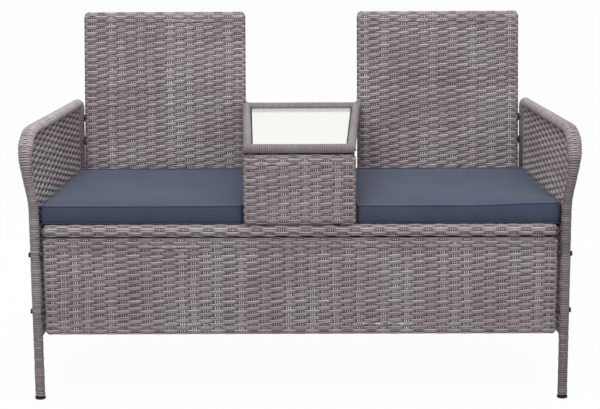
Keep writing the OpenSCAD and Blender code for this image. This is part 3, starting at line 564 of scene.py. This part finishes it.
def ringed(strands, middle, a, b, angle, wide, deep, half_w, half_h, seed, shade):
    """Adds a strand that turns round the middle points, wide off them along a and deep off them along b."""
    c, s = np.cos(angle), np.sin(angle)
    out = unit((c / wide)[:, None] * a + (s / deep)[:, None] * b)
    centre = middle + (c * wide)[:, None] * a + (s * deep)[:, None] * b
    strands.sweep(centre[None], out[None], half_w, half_h, seed, shade)


def winding(strands, path, radius, pitch, half_w, half_h, wander=0.0):
    """One strand wound round a path as a helix. radius is a number or a function of the length along it."""
    path = np.asarray(path, float)
    lengths = along_path(path)
    total = lengths[-1]
    u = np.linspace(0, total, max(8, int(total / pitch * PER_TURN)))
    angle = 2 * np.pi * u / pitch
    u = np.clip(u + wander * (np.sin(u / 7.3) + np.sin(u / 3.1 + 1)), 0, total)
    t = unit(interpolated(u, lengths, np.gradient(path, axis=0)))
    level = np.where(np.abs(t[:, 2:3]) > 0.5, np.array([[1.0, 0, 0]]), np.cross(t, np.array([0, 0, 1.0])))
    a = unit(level - (level * t).sum(-1, keepdims=True) * t)
    r = radius(u) if callable(radius) else radius + 0 * u
    ringed(strands, interpolated(u, lengths, path), a, np.cross(t, a), angle, r, r, half_w, half_h,
           0.0, WOUND_SHADE)


def dome(radius, length, reach, least):
    """A winding's radius that closes in a round over the last bit, reach, at both ends of a tube."""
    def at(u):
        near = np.minimum(np.minimum(u, length - u), reach)
        return radius * np.sqrt(np.clip(1 - (1 - near / reach) ** 2, least, 1))
    return at


def turned(angle):
    c, s = math.cos(angle), math.sin(angle)
    return np.array([[1, 0, 0], [0, c, -s], [0, s, c]])


def frame_of(origin, angle=0.0):
    """Functions that place points and turn directions from a frame tilted about the X axis."""
    r = turned(angle)
    origin = np.array(origin, float)
    return (lambda p: np.asarray(p) @ r.T + origin), (lambda n: np.asarray(n) @ r.T)


def make_panels():
    place, turn = frame_of((0, SEAT_Y, 0))
    panel("apron", "apron_weave", APRON_X, APRON_LOW, APRON_HIGH, THIN_WRAP_R, THIN_R, COLUMN,
          place, turn, seed=1.0, seam=2.5)
    panel("console", "console_weave", CONSOLE_X, CONSOLE_LOW, CONSOLE_HIGH, THIN_WRAP_R, THIN_R,
          CONSOLE_COLUMN, place, turn, seed=2.0, seam=3.0)
    for side, word in SIDES:
        place, turn = frame_of((BACK_MID_X * side, BACK_Y, BACK_Z), -RECLINE)
        panel(word + "_back", word + "_back_weave", BACK_HALF, 0.0, BACK_H, WRAP_R, TUBE_R,
              BACK_COLUMN, place, turn, seed=3.0 + side * 0.7)


make_panels()


# The arms
ARM_PITCH, ARM_STRAND_W, ARM_STRAND_H = 5.7, 2.72, 1.5
LEG_FOOT_Z, FIRST_ROW = 6.0, 13


def front_at(z):
    """Points of the front leg's middle line, right side."""
    z = np.asarray(z, float)
    flare = np.maximum(0, z - FLARE_Z) / (ARM_FRONT_Z - FLARE_Z) * LEG_FLARE
    return np.stack([LEG_X + flare, -LEG_Y + 0 * z, z], -1)


def rear_at(z):
    """Points of the rear leg's middle line, right side."""
    z = np.asarray(z, float)
    s = (ARM_REAR_Z - z) / ARM_REAR_Z
    return np.stack([REAR_TOP_X + s * REAR_SPREAD, REAR_TOP_Y + s * REAR_LEAN, z], -1)


def bend(a, b, c, r, n):
    """Points of an arc of radius r that rounds the corner b of the path a, b, c."""
    u, v = unit(a - b), unit(c - b)
    half = math.acos(float(u @ v)) / 2
    middle = b + unit(u + v) * r / math.sin(half)
    p, q = b + u * r / math.tan(half) - middle, b + v * r / math.tan(half) - middle
    turn = math.pi - 2 * half
    return [middle + (math.sin(turn * (1 - i / n)) * p + math.sin(turn * i / n) * q) / math.sin(turn)
            for i in range(n + 1)]


def arm_half(p):
    """Half the arm's width: it grows up the front leg and shrinks again to the rear."""
    rise = smooth((p[:, 2] - ARM_FRONT_Z + ARM_FRONT_BEND) / (ARM_FRONT_BEND * ARM_WIDEN))
    fall = smooth((p[:, 1] + LEG_Y) / (REAR_TOP_Y + LEG_Y))
    return WRAP_R - 1.4 + (ARM_W / 2 - WRAP_R) * rise * (1 - fall)


def mirrored(points, side):
    return points * np.array([side, 1.0, 1.0])


# Direction of the side rails seen from above, and the direction outward from the side panel
RAIL_DIR = unit(rear_at(415.0)[:2] - front_at(423.0)[:2])
RAIL_OUT = np.array([RAIL_DIR[1], -RAIL_DIR[0], 0.0])


def make_arm(side, word):
    corners_at = [front_at(LEG_FOOT_Z), front_at(FLARE_Z), np.array([CORNER_X, -LEG_Y, ARM_FRONT_Z]),
                  rear_at(ARM_REAR_Z), rear_at(LEG_FOOT_Z)]
    path = [corners_at[0], *bend(*corners_at[0:3], FLARE_BEND, 12),
            *bend(*corners_at[1:4], ARM_FRONT_BEND, 24), *bend(*corners_at[2:5], ARM_REAR_BEND - 7, 16),
            corners_at[4]]
    path = np.array([p for n, p in enumerate(path) if n == 0 or np.linalg.norm(p - path[n - 1]) > 0.01])
    fine = np.concatenate([np.linspace(a, b, max(2, int(np.linalg.norm(b - a) / 6)), endpoint=False)
                           for a, b in zip(path[:-1], path[1:])] + [path[-1:]])
    strands = Strands()
    arm_winding(strands, mirrored(fine, side), side)
    strands.mesh(word + "_arm_winding", [word + "_arm_wrap"])


def arm_winding(strands, path, side):
    """The strand wound round the whole arm: its rings are level ovals, widest at the front corner."""
    lengths = along_path(path)
    total = lengths[-1]
    u = np.linspace(0, total, int(total / ARM_PITCH * PER_TURN))
    angle = side * 2 * np.pi * u / ARM_PITCH
    u = np.clip(u + 0.22 * (np.sin(u / 9.3) + np.sin(u / 31.0 + 1)), 0, total)
    c = interpolated(u, lengths, path)
    t = unit(interpolated(u, lengths, np.gradient(path, lengths, axis=0)))
    level = RAIL_OUT * np.array([side, 1, 1])
    a = unit(level - (t @ level)[:, None] * t)
    # on top of the arm the strand runs over and under like the panels' weavers
    woven = smooth((c[:, 2] - 570) / 50)
    wave = np.cos(4 * angle + np.pi * np.floor(angle / (2 * np.pi))) * woven
    uneven = hashed(np.floor(angle / 6.0), 0, 3.0) - 0.5
    # beside the backs it is a little wider, and painted lighter where it lies in shade
    rear = smooth((c[:, 1] - 120) / 40) * smooth((c[:, 2] - 380) / 40)
    wide = arm_half(c * np.array([side, 1, 1])) + uneven + 0.7 * wave + 0.5 * rear
    deep = WRAP_R - 1.4 + 0.5 * uneven + 0.7 * wave
    # painted light: the arm's top and the part beside the backs are lighter, and the turns darker where they
    # dip under
    shade = lerp(0.8, 1.0, np.maximum(rear, woven)) + 0.2 * uneven + 0.15 * np.minimum(wave, 0)
    ringed(strands, c, a, np.cross(t, a), angle, wide, deep, ARM_STRAND_W, ARM_STRAND_H, side,
           np.minimum(1, shade)[None])


def make_side(side, word):
    """The woven side panel, ruled from the front leg to the rear leg."""
    span = REAR_TOP_Y + LEG_Y
    seed = 5.0 + side
    # painted shade: the left panel is darker, as it lies in shade in the photograph
    painted_weaver_shade, painted_stake_shade = (0.26, 0.5) if side < 0 else (0.4, 0.66)
    hidden = WRAP_R - 4

    def sunk(z, q):
        """The height at the length q of a row that starts at the height z on the front leg."""
        return z - (ARM_FRONT_Z - ARM_REAR_Z) * q / span * (z - LOW_RAIL_Z) / (ARM_FRONT_Z - LOW_RAIL_Z)

    def at(q, z0, d, shift):
        z = sunk(z0, q)
        p = lerp(front_at(z), rear_at(z), (q / span)[..., None])
        p = p + RAIL_OUT * (d - SIDE_SHIFT)[..., None]
        p[..., 2] += shift
        out = np.broadcast_to(RAIL_OUT, p.shape)
        return mirrored(p, side), mirrored(out, side)

    def row_start(z, top, radius):
        """How far from the leg's middle a row starts, which grows where the arm tube bends over it."""
        inner = radius - hidden
        rise = np.clip(z - (top - radius), 0, inner - 0.1)
        return np.where(rise > 0, radius - np.sqrt(inner ** 2 - rise ** 2), hidden)

    weft = Strands()
    k = np.arange(int((ARM_FRONT_Z - 8 - LOW_RAIL_Z - FIRST_ROW) / ROW) + 1)
    z0 = LOW_RAIL_Z + FIRST_ROW + k * ROW
    start = row_start(z0, ARM_FRONT_Z, ARM_FRONT_BEND)
    end = span - row_start(sunk(z0, span), ARM_REAR_Z, ARM_REAR_BEND)
    q = start[:, None] + np.linspace(0, 1, 74)[None, :] * (end - start)[:, None]
    cell = -over_under(q / SIDE_COLUMN, k[:, None])
    wander = 0.9 * ripple(q, z0[:, None], seed)
    near = smooth((q - 8) / 14) * smooth((span - 8 - q) / 14)
    for strand in (-1, 1):
        shift = strand * (ROW / 4 + 0.28 * np.maximum(cell, 0))
        # painted shade: weavers are darker where they cross between faces and lighter where proud, the upper
        # strand of a pair lighter
        weft.sweep(*at(q, z0[:, None] + wander, 1.8 * cell * near, shift), WEFT_W, WEFT_H, seed + strand,
                   np.clip(painted_weaver_shade + 0.85 * np.abs(cell) + 0.15 * strand, 0, 1.08))
    # dark ribbons between the rows: painted shadow in the gaps
    weft.sweep(*at(q, z0[:, None] + ROW / 2 + wander, 0 * q, 0 * q), SIDE_RIBBON_W, RIBBON_H, seed, PAINTED_SHADOW)
    weft.mesh(word + "_side_weavers", [word + "_side_weave"])

    warp = Strands()
    for i in np.arange(1, int(span / SIDE_COLUMN) + 1):
        for strip in STRIPS:
            q0 = i * SIDE_COLUMN + strip * STRIP
            # a stake ends below the arm tube, and lower where the tube bends down into a leg
            drop = 6.0
            for radius, off in ((ARM_FRONT_BEND, q0), (ARM_REAR_BEND, span - q0)):
                if off < radius:
                    drop = max(drop, radius - math.sqrt(max(0, (radius - 5) ** 2 - (radius - off) ** 2)))
            n = int((ARM_FRONT_Z - drop - LOW_RAIL_Z) / (ROW / 2))
            zz = LOW_RAIL_Z + np.arange(n + 1) * ROW / 2
            back = over_under(i, (zz - LOW_RAIL_Z - FIRST_ROW) / ROW)
            qq = q0 + 1.2 * ripple(zz, 0 * zz + q0, seed)
            centre, out = at(qq[None], zz[None], STAKE_SWING * back[None], 0 * zz[None])
            # the stakes carry the panel's painted shade
            warp.sweep(centre, out, WARP_W, WARP_H, seed + strip, painted_stake_shade)
    warp.mesh(word + "_side_stakes", [word + "_side_weave"])

    rails = Strands()
    rail_rear_z = (SEAT_Z - (LEG_Y - SEAT_Y) * math.tan(SEAT_SLOPE)) / (
        1 - REAR_LEAN * math.tan(SEAT_SLOPE) / ARM_REAR_Z)
    for front, rear in ((LOW_RAIL_Z, LOW_RAIL_Z), (SEAT_Z, rail_rear_z)):
        a, b = front_at(front), rear_at(rear)
        ends = unit(b - a) * 9
        winding(rails, mirrored(np.array([a + ends, b - ends]), side), THIN_WRAP_R - 1.0,
                pitch=5.4, half_w=2.6, half_h=1.0, wander=0.2)
    rails.mesh(word + "_side_rails", [word + "_side_weave"])


for SIDE, WORD in SIDES:
    make_arm(SIDE, WORD)
    make_side(SIDE, WORD)


# The table's winding
# height, inset, half width and half thickness of the dark strips of painted shadow under the gap round the
# glass
GAP_SHADOW_Z, GAP_SHADOW_IN, GAP_SHADOW_W, GAP_SHADOW_H = 606.0, 9, 9.0, 0.4


def make_table():
    rear_y = BACK_Y + (TABLE_Z - BACK_Z) * math.tan(RECLINE) - WRAP_R / math.cos(RECLINE) - 0.5 - THIN_WRAP_R
    rear_x = BACK_MID_X - BACK_HALF - WRAP_R + 7.5 - THIN_WRAP_R
    strands = Strands()
    r = THIN_WRAP_R - 0.2
    over = THIN_WRAP_R * 0.98
    for x, y in ((TABLE_FRONT_X, SEAT_Y), (rear_x, rear_y)):
        ends = np.array([[-x - over, y, TABLE_Z], [x + over, y, TABLE_Z]])
        winding(strands, ends, dome(r, 2 * (x + over), reach=6.0, least=0.04),
                pitch=4.6, half_w=2.3, half_h=1.0, wander=0.15)
    for side in (-1, 1):
        ends = np.array([[side * TABLE_FRONT_X, SEAT_Y + 8, TABLE_Z], [side * rear_x, rear_y - 8, TABLE_Z]])
        winding(strands, ends, r - 0.8, pitch=5.0, half_w=2.45, half_h=1.0, wander=0.15)
    # a dark strip under the gap round the glass: painted shadow seen through the gap
    lines = []
    for x, y in ((TABLE_FRONT_X, SEAT_Y + GAP_SHADOW_IN), (rear_x, rear_y - GAP_SHADOW_IN)):
        lines.append(np.array([[-x + 8, y, GAP_SHADOW_Z], [0, y, GAP_SHADOW_Z], [x - 8, y, GAP_SHADOW_Z]]))
    for side in (-1, 1):
        lines.append(np.linspace([side * (TABLE_FRONT_X - GAP_SHADOW_IN), SEAT_Y + 8, GAP_SHADOW_Z],
                                 [side * (rear_x - GAP_SHADOW_IN), rear_y - 8, GAP_SHADOW_Z], 3))
    for line in lines:
        strands.sweep(line[None], np.zeros_like(line)[None] + [0, 0, 1], GAP_SHADOW_W, GAP_SHADOW_H, 0.0, PAINTED_SHADOW)
    strands.mesh("table_winding", ["table_wrap"])


make_table()


# The seat
SEAT_CORNER_X = LEG_X - (THIN_WRAP_R + 6 + DECK_R) / RAIL_OUT[0]
SEAT_SEED, SEAT_SWING, SEAT_STAKE_SWING = 9.0, 1.3, 0.7


def seat_half(v):
    """Half the seat's width to its side tubes, at the length v behind the front tube."""
    return SEAT_CORNER_X + (SEAT_Y + v * math.cos(SEAT_SLOPE) + LEG_Y) * RAIL_DIR[0] / RAIL_DIR[1]


def make_seat():
    place, turn = frame_of((0, SEAT_Y, SEAT_Z), -SEAT_SLOPE)
    tube_mid, flat = DECK_R - 1.3, DECK_R - EDGE_PROUD - SHEET_T / 2

    def along(s, d):
        """Depth to the rear, height and normal at the length s over the seat, d off the sheet's middle."""
        front, rear = s < 0, s > SEAT_LEN
        turn_by = np.where(front, -s, np.where(rear, s - SEAT_LEN, 0)) / tube_mid
        near = np.minimum(np.maximum(s, 0), np.maximum(SEAT_LEN - s, 0))
        r = lerp(flat, tube_mid, 1 - smooth((near - 4) / 16)) + d
        y = np.where(front, -r * np.sin(turn_by), np.where(rear, SEAT_LEN + r * np.sin(turn_by), s))
        ny = np.where(front, -np.sin(turn_by), np.where(rear, np.sin(turn_by), 0))
        return y, r * np.cos(turn_by), ny, np.cos(turn_by)

    def strip_at(x, s, d):
        y, h, ny, nh = along(s, d)
        return place(stacked(x, y, h)), turn(stacked(0, ny, nh))

    weft = Strands()
    gaps = round((2 * SEAT_CORNER_X - 16) / SEAT_COLUMN)
    first = -gaps / 2 * SEAT_COLUMN
    low = -tube_mid * math.pi / 2 - 1.5 * SEAT_ROW
    rows = int((SEAT_LEN + tube_mid * math.pi / 2 + 1.5 * SEAT_ROW - low) / SEAT_ROW)
    k = np.arange(rows + 1)[:, None]
    s0 = low + k * SEAT_ROW
    half = seat_half(np.clip(along(s0, 0)[0], 0, SEAT_LEN))
    per = 4
    x = np.linspace(-1, 1, gaps * per + 5)[None, :] * (half + 6)
    cell = over_under((x - first) / SEAT_COLUMN, k)
    swing = SEAT_SWING * smooth((half + 2 - np.abs(x)) / 10)
    for strand in (-1, 1):
        s = s0 + strand * (SEAT_ROW / 4 + 0.2 * np.maximum(cell, 0)) + 0.5 * ripple(x, s0, SEAT_SEED)
        # painted light: the weave's painted shade, with the upper strand of each pair lighter and the lower
        # one darker
        weft.sweep(*strip_at(x, s, swing * cell), SEAT_ROW / 4 + 0.12, WEFT_H, SEAT_SEED + strand,
                   np.minimum(1, weaver_shade(cell) + 0.06 * strand))
    weft.mesh("seat_weavers", ["seat_weave"])

    warp = Strands()
    s = np.arange(2 * rows + 1)[None, :] / 2 * SEAT_ROW + low
    for i in range(gaps + 1):
        for strip in STRIPS:
            x0 = first + i * SEAT_COLUMN + strip * STRIP
            keep = s
            if abs(x0) > seat_half(SEAT_LEN):
                # a stake near the seat's tapering sides ends where the side tube is
                keep = s[:, s[0] < (SEAT_CORNER_X + 4 - abs(x0)) / (-RAIL_DIR[0] / RAIL_DIR[1])]
            if keep.shape[1] < 4:
                continue
            back = -over_under(i, (keep - low) / SEAT_ROW)
            warp.sweep(*strip_at(x0, keep, SEAT_STAKE_SWING * back), WARP_W, WARP_H,
                       SEAT_SEED + 0.5 + strip, stake_shade(back))
    sides = Strands()
    over = DECK_R * 0.9
    for side in (-1, 1):
        ends = place(np.array([[side * seat_half(0), -over, 0],
                               [side * seat_half(SEAT_LEN), SEAT_LEN + over, 0]]))
        radius = dome(DECK_R - 1.0, SEAT_LEN + 2 * over, reach=7, least=0.05)
        winding(sides, ends, radius, pitch=5.0, half_w=2.5, half_h=1.0, wander=0.2)
    warp.mesh("seat_stakes", ["seat_weave"])
    sides.mesh("seat_sides", ["seat_weave"])


make_seat()


# The cushions
CUSHION_H, CUSHION_LIFT = 44.0, DECK_R + 0.3
CUSHION_GRID, BAND_LEVELS = 56, 6
# The inner edge's x at its front and rear corner, the seams' inset, the crown's rise in the middle
# and to the rear, and the band's bulge
INNER_FRONT_X, INNER_REAR_X = 134.5, 136.8
SEAM_INSET, CROWN, REAR_CROWN, BULGE = 0.8, 4.5, 5.5, 1.6
WELT_R, WELT_LIFT = 1.6, 1.7
SWELL_CAP, SWELL_FRAMES, SEAM_HOLD = 6.0, 20, 0.6
# Where the wrinkles start: x of a cushion's inner and outer end, z of its top, y of its front face
WRINKLE_IN, WRINKLE_OUT, TOP_Z, FRONT_Y = 136, 600, 470, -247


def cushion_corners():
    """A cushion's four corners in the seat's plane, right side, from the inner front one outward and back."""
    front = 8.0
    rear = (SEAT_LEN * math.cos(SEAT_SLOPE) - WRAP_R / math.cos(RECLINE)) / math.cos(SEAT_SLOPE) - 2.5
    return np.array([[INNER_FRONT_X, front], [seat_half(front) + DECK_R + 6, front],
                     [seat_half(rear) + DECK_R + 3, rear], [INNER_REAR_X, rear]])


def cushion_mesh(name, side):
    """A boxed cushion: a crowned top, a flat under side and a boxing band between two seams."""
    corner = cushion_corners()
    n = CUSHION_GRID
    grid = np.linspace(-1, 1, n + 1)
    u, v = np.meshgrid(grid, grid, indexing="ij")
    # pull the square grid's corners in, so that the outline has round corners
    push = 0.01 * (np.abs(u) ** 8) * (np.abs(v) ** 8)
    a, b = (u * (1 - push) + 1) / 2, (v * (1 - push) + 1) / 2
    flat = (corner[0] * ((1 - a) * (1 - b))[..., None] + corner[1] * (a * (1 - b))[..., None]
            + corner[2] * (a * b)[..., None] + corner[3] * ((1 - a) * b)[..., None])
    flat = flat + unit(corner.mean(0) - flat + 1e-9) * SEAM_INSET
    edge = (1 - np.abs(u) ** 2.5) * (1 - np.abs(v) ** 2.5)
    crown = CROWN * np.clip(edge, 0, 1) ** 0.4 + REAR_CROWN * b ** 2
    top = np.concatenate([flat, (CUSHION_H + crown)[..., None]], -1).reshape(-1, 3)
    low = np.concatenate([flat, np.zeros_like(crown)[..., None] + 0.4], -1).reshape(-1, 3)
    verts, faces = list(top) + list(low), []
    base = (n + 1) ** 2

    def index(i, j):
        return i * (n + 1) + j

    for i in range(n):
        for j in range(n):
            q = [index(i, j), index(i + 1, j), index(i + 1, j + 1), index(i, j + 1)]
            faces.append(q)
            faces.append([base + p for p in reversed(q)])
    ring = ([(i, 0) for i in range(n)] + [(n, j) for j in range(n)] + [(i, n) for i in range(n, 0, -1)]
            + [(0, j) for j in range(n, 0, -1)])
    loops = [[index(*p) for p in ring]]
    middle = flat.mean((0, 1))
    for level in range(1, BAND_LEVELS):
        h = CUSHION_H * (1 - level / BAND_LEVELS)
        bulge = BULGE * math.sin(math.pi * level / BAND_LEVELS)
        loops.append(list(range(len(verts), len(verts) + len(ring))))
        verts += [np.array([*(flat[p] + unit(flat[p] - middle) * bulge), h]) for p in ring]
    loops.append([base + index(*p) for p in ring])
    for one, two in zip(loops[:-1], loops[1:]):
        for k in range(len(one)):
            m = (k + 1) % len(one)
            faces.append([one[k], two[k], two[m], one[m]])
    place, _ = frame_of((0, SEAT_Y, SEAT_Z), -SEAT_SLOPE)
    points = np.array(verts)
    points[:, 2] += CUSHION_LIFT
    points = place(points) * MM
    if side < 0:
        points[:, 0] *= -1
        faces = [list(reversed(f)) for f in faces]
    data = bpy.data.meshes.new(name)
    data.from_pydata([tuple(p) for p in points], [], faces)
    data.update(calc_edges=True)
    for p in data.polygons:
        p.use_smooth = True
    ob = bpy.data.objects.new(name, data)
    bpy.context.scene.collection.objects.link(ob)
    return ob, loops[0], loops[-1]


def coordinates(data):
    return np.array([v.co[:] for v in data.vertices])


def swell(ob, seams):
    """Moves of a cushion's points when a cloth simulation blows it up, held back at its sewn seams."""
    scene = bpy.context.scene
    rest = coordinates(ob.data)
    pins = ob.vertex_groups.new(name="seam")
    for loop in seams:
        pins.add(loop, SEAM_HOLD, "REPLACE")
    cloth = ob.modifiers.new("Cloth", "CLOTH")
    cloth.settings.quality = 6
    cloth.settings.use_pressure = True
    cloth.settings.uniform_pressure_force = 4
    cloth.settings.effector_weights.gravity = 0
    cloth.settings.vertex_group_mass = "seam"
    cloth.settings.tension_stiffness = cloth.settings.compression_stiffness = 18
    cloth.settings.bending_stiffness = 1.5
    cloth.point_cache.frame_start, cloth.point_cache.frame_end = 1, SWELL_FRAMES
    for f in range(1, SWELL_FRAMES + 1):
        scene.frame_set(f)
    done = coordinates(ob.evaluated_get(bpy.context.evaluated_depsgraph_get()).data)
    ob.modifiers.remove(cloth)
    ob.vertex_groups.clear()
    scene.frame_set(1)
    move = done - rest
    size = np.linalg.norm(move, axis=1, keepdims=True) + 1e-9
    return move * np.minimum(1, SWELL_CAP * MM / size)


def folded(shape, side):
    """The wrinkles and folds of a cushion. shape is its points in metres, and so is what comes back."""
    x, y, z = shape[:, 0] * side / MM, shape[:, 1] / MM, shape[:, 2] / MM
    # wrinkles run in from both ends of the top, and the front face has shallow folds
    inner = np.exp(-np.maximum(0, x - WRINKLE_IN) / 60)
    outer = np.exp(-np.maximum(0, WRINKLE_OUT - x) / 90) * 0.5
    fold = np.sin(y / 5.2 + 1.5 * np.sin(x / 55 + y / 40) + 0.7 * side) * (inner + outer)
    z = z + 0.55 * fold * smooth((z - TOP_Z) / 6)
    front = smooth((FRONT_Y - y) / 6)
    y = y + front * (0.9 * ripple(x * 2.2, z * 3, 1.0 + side) + 0.5 * np.sin(x / 9 + z / 7))
    z = z + front * smooth((448 - z) / 10) * 2.0 * (ripple(x * 1.6, 0 * x, 4.0 + side) + 1.1)
    if side > 0:
        # the photographed right cushion rises towards its outer front corner
        z = z + 5.0 * smooth((x - 400) / 170) * smooth((z - 440) / 25) * smooth((-120 - y) / 110)
    z = np.maximum(z, SEAT_Z + CUSHION_LIFT - (y - SEAT_Y) * math.tan(SEAT_SLOPE))
    return np.stack([x * side, y, z], -1) * MM


def make_cushion(side, word):
    ob, top, low = cushion_mesh(word + "_pad", side)
    shape = coordinates(ob.data)
    shape = shape + swell(ob, [top, low])
    shape = folded(shape, side)
    ob.data.vertices.foreach_set("co", shape.astype(np.float32).ravel())
    ob.data.update()
    sub = ob.modifiers.new("Subdivision", "SUBSURF")
    sub.levels = sub.render_levels = 1
    ob.data.materials.append(FABRIC)
    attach(ob, word + "_cushion")
    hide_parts(word + "_cushion")
    # the top welt uses the lighter cloth: a painted highlight on the seam's ridge
    for loop, tag, lift, cloth in ((top, "top", WELT_LIFT, LIT_SEAM_CLOTH), (low, "low", 0.0, FABRIC)):
        welt(shape[loop] + [0, 0, lift * MM], shape.mean(0), word + "_welt_" + tag, word + "_cushion", cloth)


def welt(points, middle, name, body, cloth):
    """The sewn ridge along a seam."""
    points = np.asarray(points) / MM
    closed = np.concatenate([points, points[:2]])[None]
    strands = Strands()
    strands.sweep(closed, unit(closed - middle[None, None] / MM), WELT_R, WELT_R)
    strands.mesh(name, [], body, cloth)


for SIDE, WORD in SIDES:
    make_cushion(SIDE, WORD)


# The CAD nodes that stay
SLOT_LOOKS = {"steel": STEEL, "bolt": BOLT, "spacer": PLASTIC, "foot_cap": PLASTIC, "pad": PAD,
              "glass": GLASS, "wicker": WICKER, "cushion": FABRIC}
for part in frame["record"]["subparts"]:
    materials = frame["nodes"][part["node"]].data.materials
    materials.clear()
    materials.append(SLOT_LOOKS[part["material_slot"]])
glass_edge = frame["nodes"]["glass_top"].modifiers.new("Bevel", "BEVEL")
glass_edge.width, glass_edge.segments = 0.001, 2


# Floor, backdrop and light
def make_stage():
    """A white floor that still takes shadows, a world that looks white but lights softly, and three lamps."""
    m, nodes, links, bsdf = new_material("studio_floor")
    bsdf.inputs["Base Color"].default_value = (0.55, 0.55, 0.55, 1)
    bsdf.inputs["Roughness"].default_value = 0.9
    bsdf.inputs["Specular IOR Level"].default_value = 0.0
    glow = nodes.new("ShaderNodeEmission")
    glow.inputs["Strength"].default_value = 1.03
    path = nodes.new("ShaderNodeLightPath")
    seen = nodes.new("ShaderNodeMath")
    seen.operation = "MULTIPLY"
    seen.inputs[1].default_value = 0.93
    links.new(path.outputs["Is Camera Ray"], seen.inputs[0])
    blend = nodes.new("ShaderNodeMixShader")
    links.new(seen.outputs[0], blend.inputs[0])
    links.new(bsdf.outputs[0], blend.inputs[1])
    links.new(glow.outputs[0], blend.inputs[2])
    links.new(blend.outputs[0], nodes["Material Output"].inputs["Surface"])
    data = bpy.data.meshes.new("floor")
    half = 14.0
    rim = [(-half, -half, 0), (half, -half, 0), (half, half, 0), (-half, half, 0)]
    data.from_pydata(rim, [], [(0, 1, 2, 3)])
    floor = bpy.data.objects.new("floor", data)
    bpy.context.scene.collection.objects.link(floor)
    data.materials.append(m)

    world = bpy.data.worlds.new("studio")
    bpy.context.scene.world = world
    world.use_nodes = True
    nodes, links = world.node_tree.nodes, world.node_tree.links
    soft = nodes["Background"]
    soft.inputs["Color"].default_value = (1, 1, 1, 1)
    soft.inputs["Strength"].default_value = 0.42
    white = nodes.new("ShaderNodeBackground")
    white.inputs["Color"].default_value = (1, 1, 1, 1)
    white.inputs["Strength"].default_value = 1.0
    path = nodes.new("ShaderNodeLightPath")
    total = path.outputs["Is Camera Ray"]
    for socket in ("Is Glossy Ray", "Is Transmission Ray"):
        add = nodes.new("ShaderNodeMath")
        add.operation = "MAXIMUM"
        links.new(total, add.inputs[0])
        links.new(path.outputs[socket], add.inputs[1])
        total = add.outputs[0]
    blend = nodes.new("ShaderNodeMixShader")
    links.new(total, blend.inputs[0])
    links.new(soft.outputs[0], blend.inputs[1])
    links.new(white.outputs[0], blend.inputs[2])
    links.new(blend.outputs[0], nodes["World Output"].inputs["Surface"])

    aim = Vector((0, 0, 0.45))
    lamps = (("key", (-1.0, -2.6, 3.6), 2.2, 78), ("fill", (2.2, -2.6, 2.6), 2.2, 26),
             ("top", (0.2, 0.2, 3.6), 2.6, 60))
    for name, place, size, watts in lamps:
        lamp = bpy.data.lights.new(name, "AREA")
        lamp.shape, lamp.size, lamp.energy = "SQUARE", size, watts
        ob = bpy.data.objects.new(name, lamp)
        ob.location = place
        ob.rotation_euler = (aim - Vector(place)).to_track_quat("-Z", "Y").to_euler()
        bpy.context.scene.collection.objects.link(ob)


make_stage()
bpy.context.scene.view_settings.view_transform = "Standard"
bpy.context.view_layer.update()
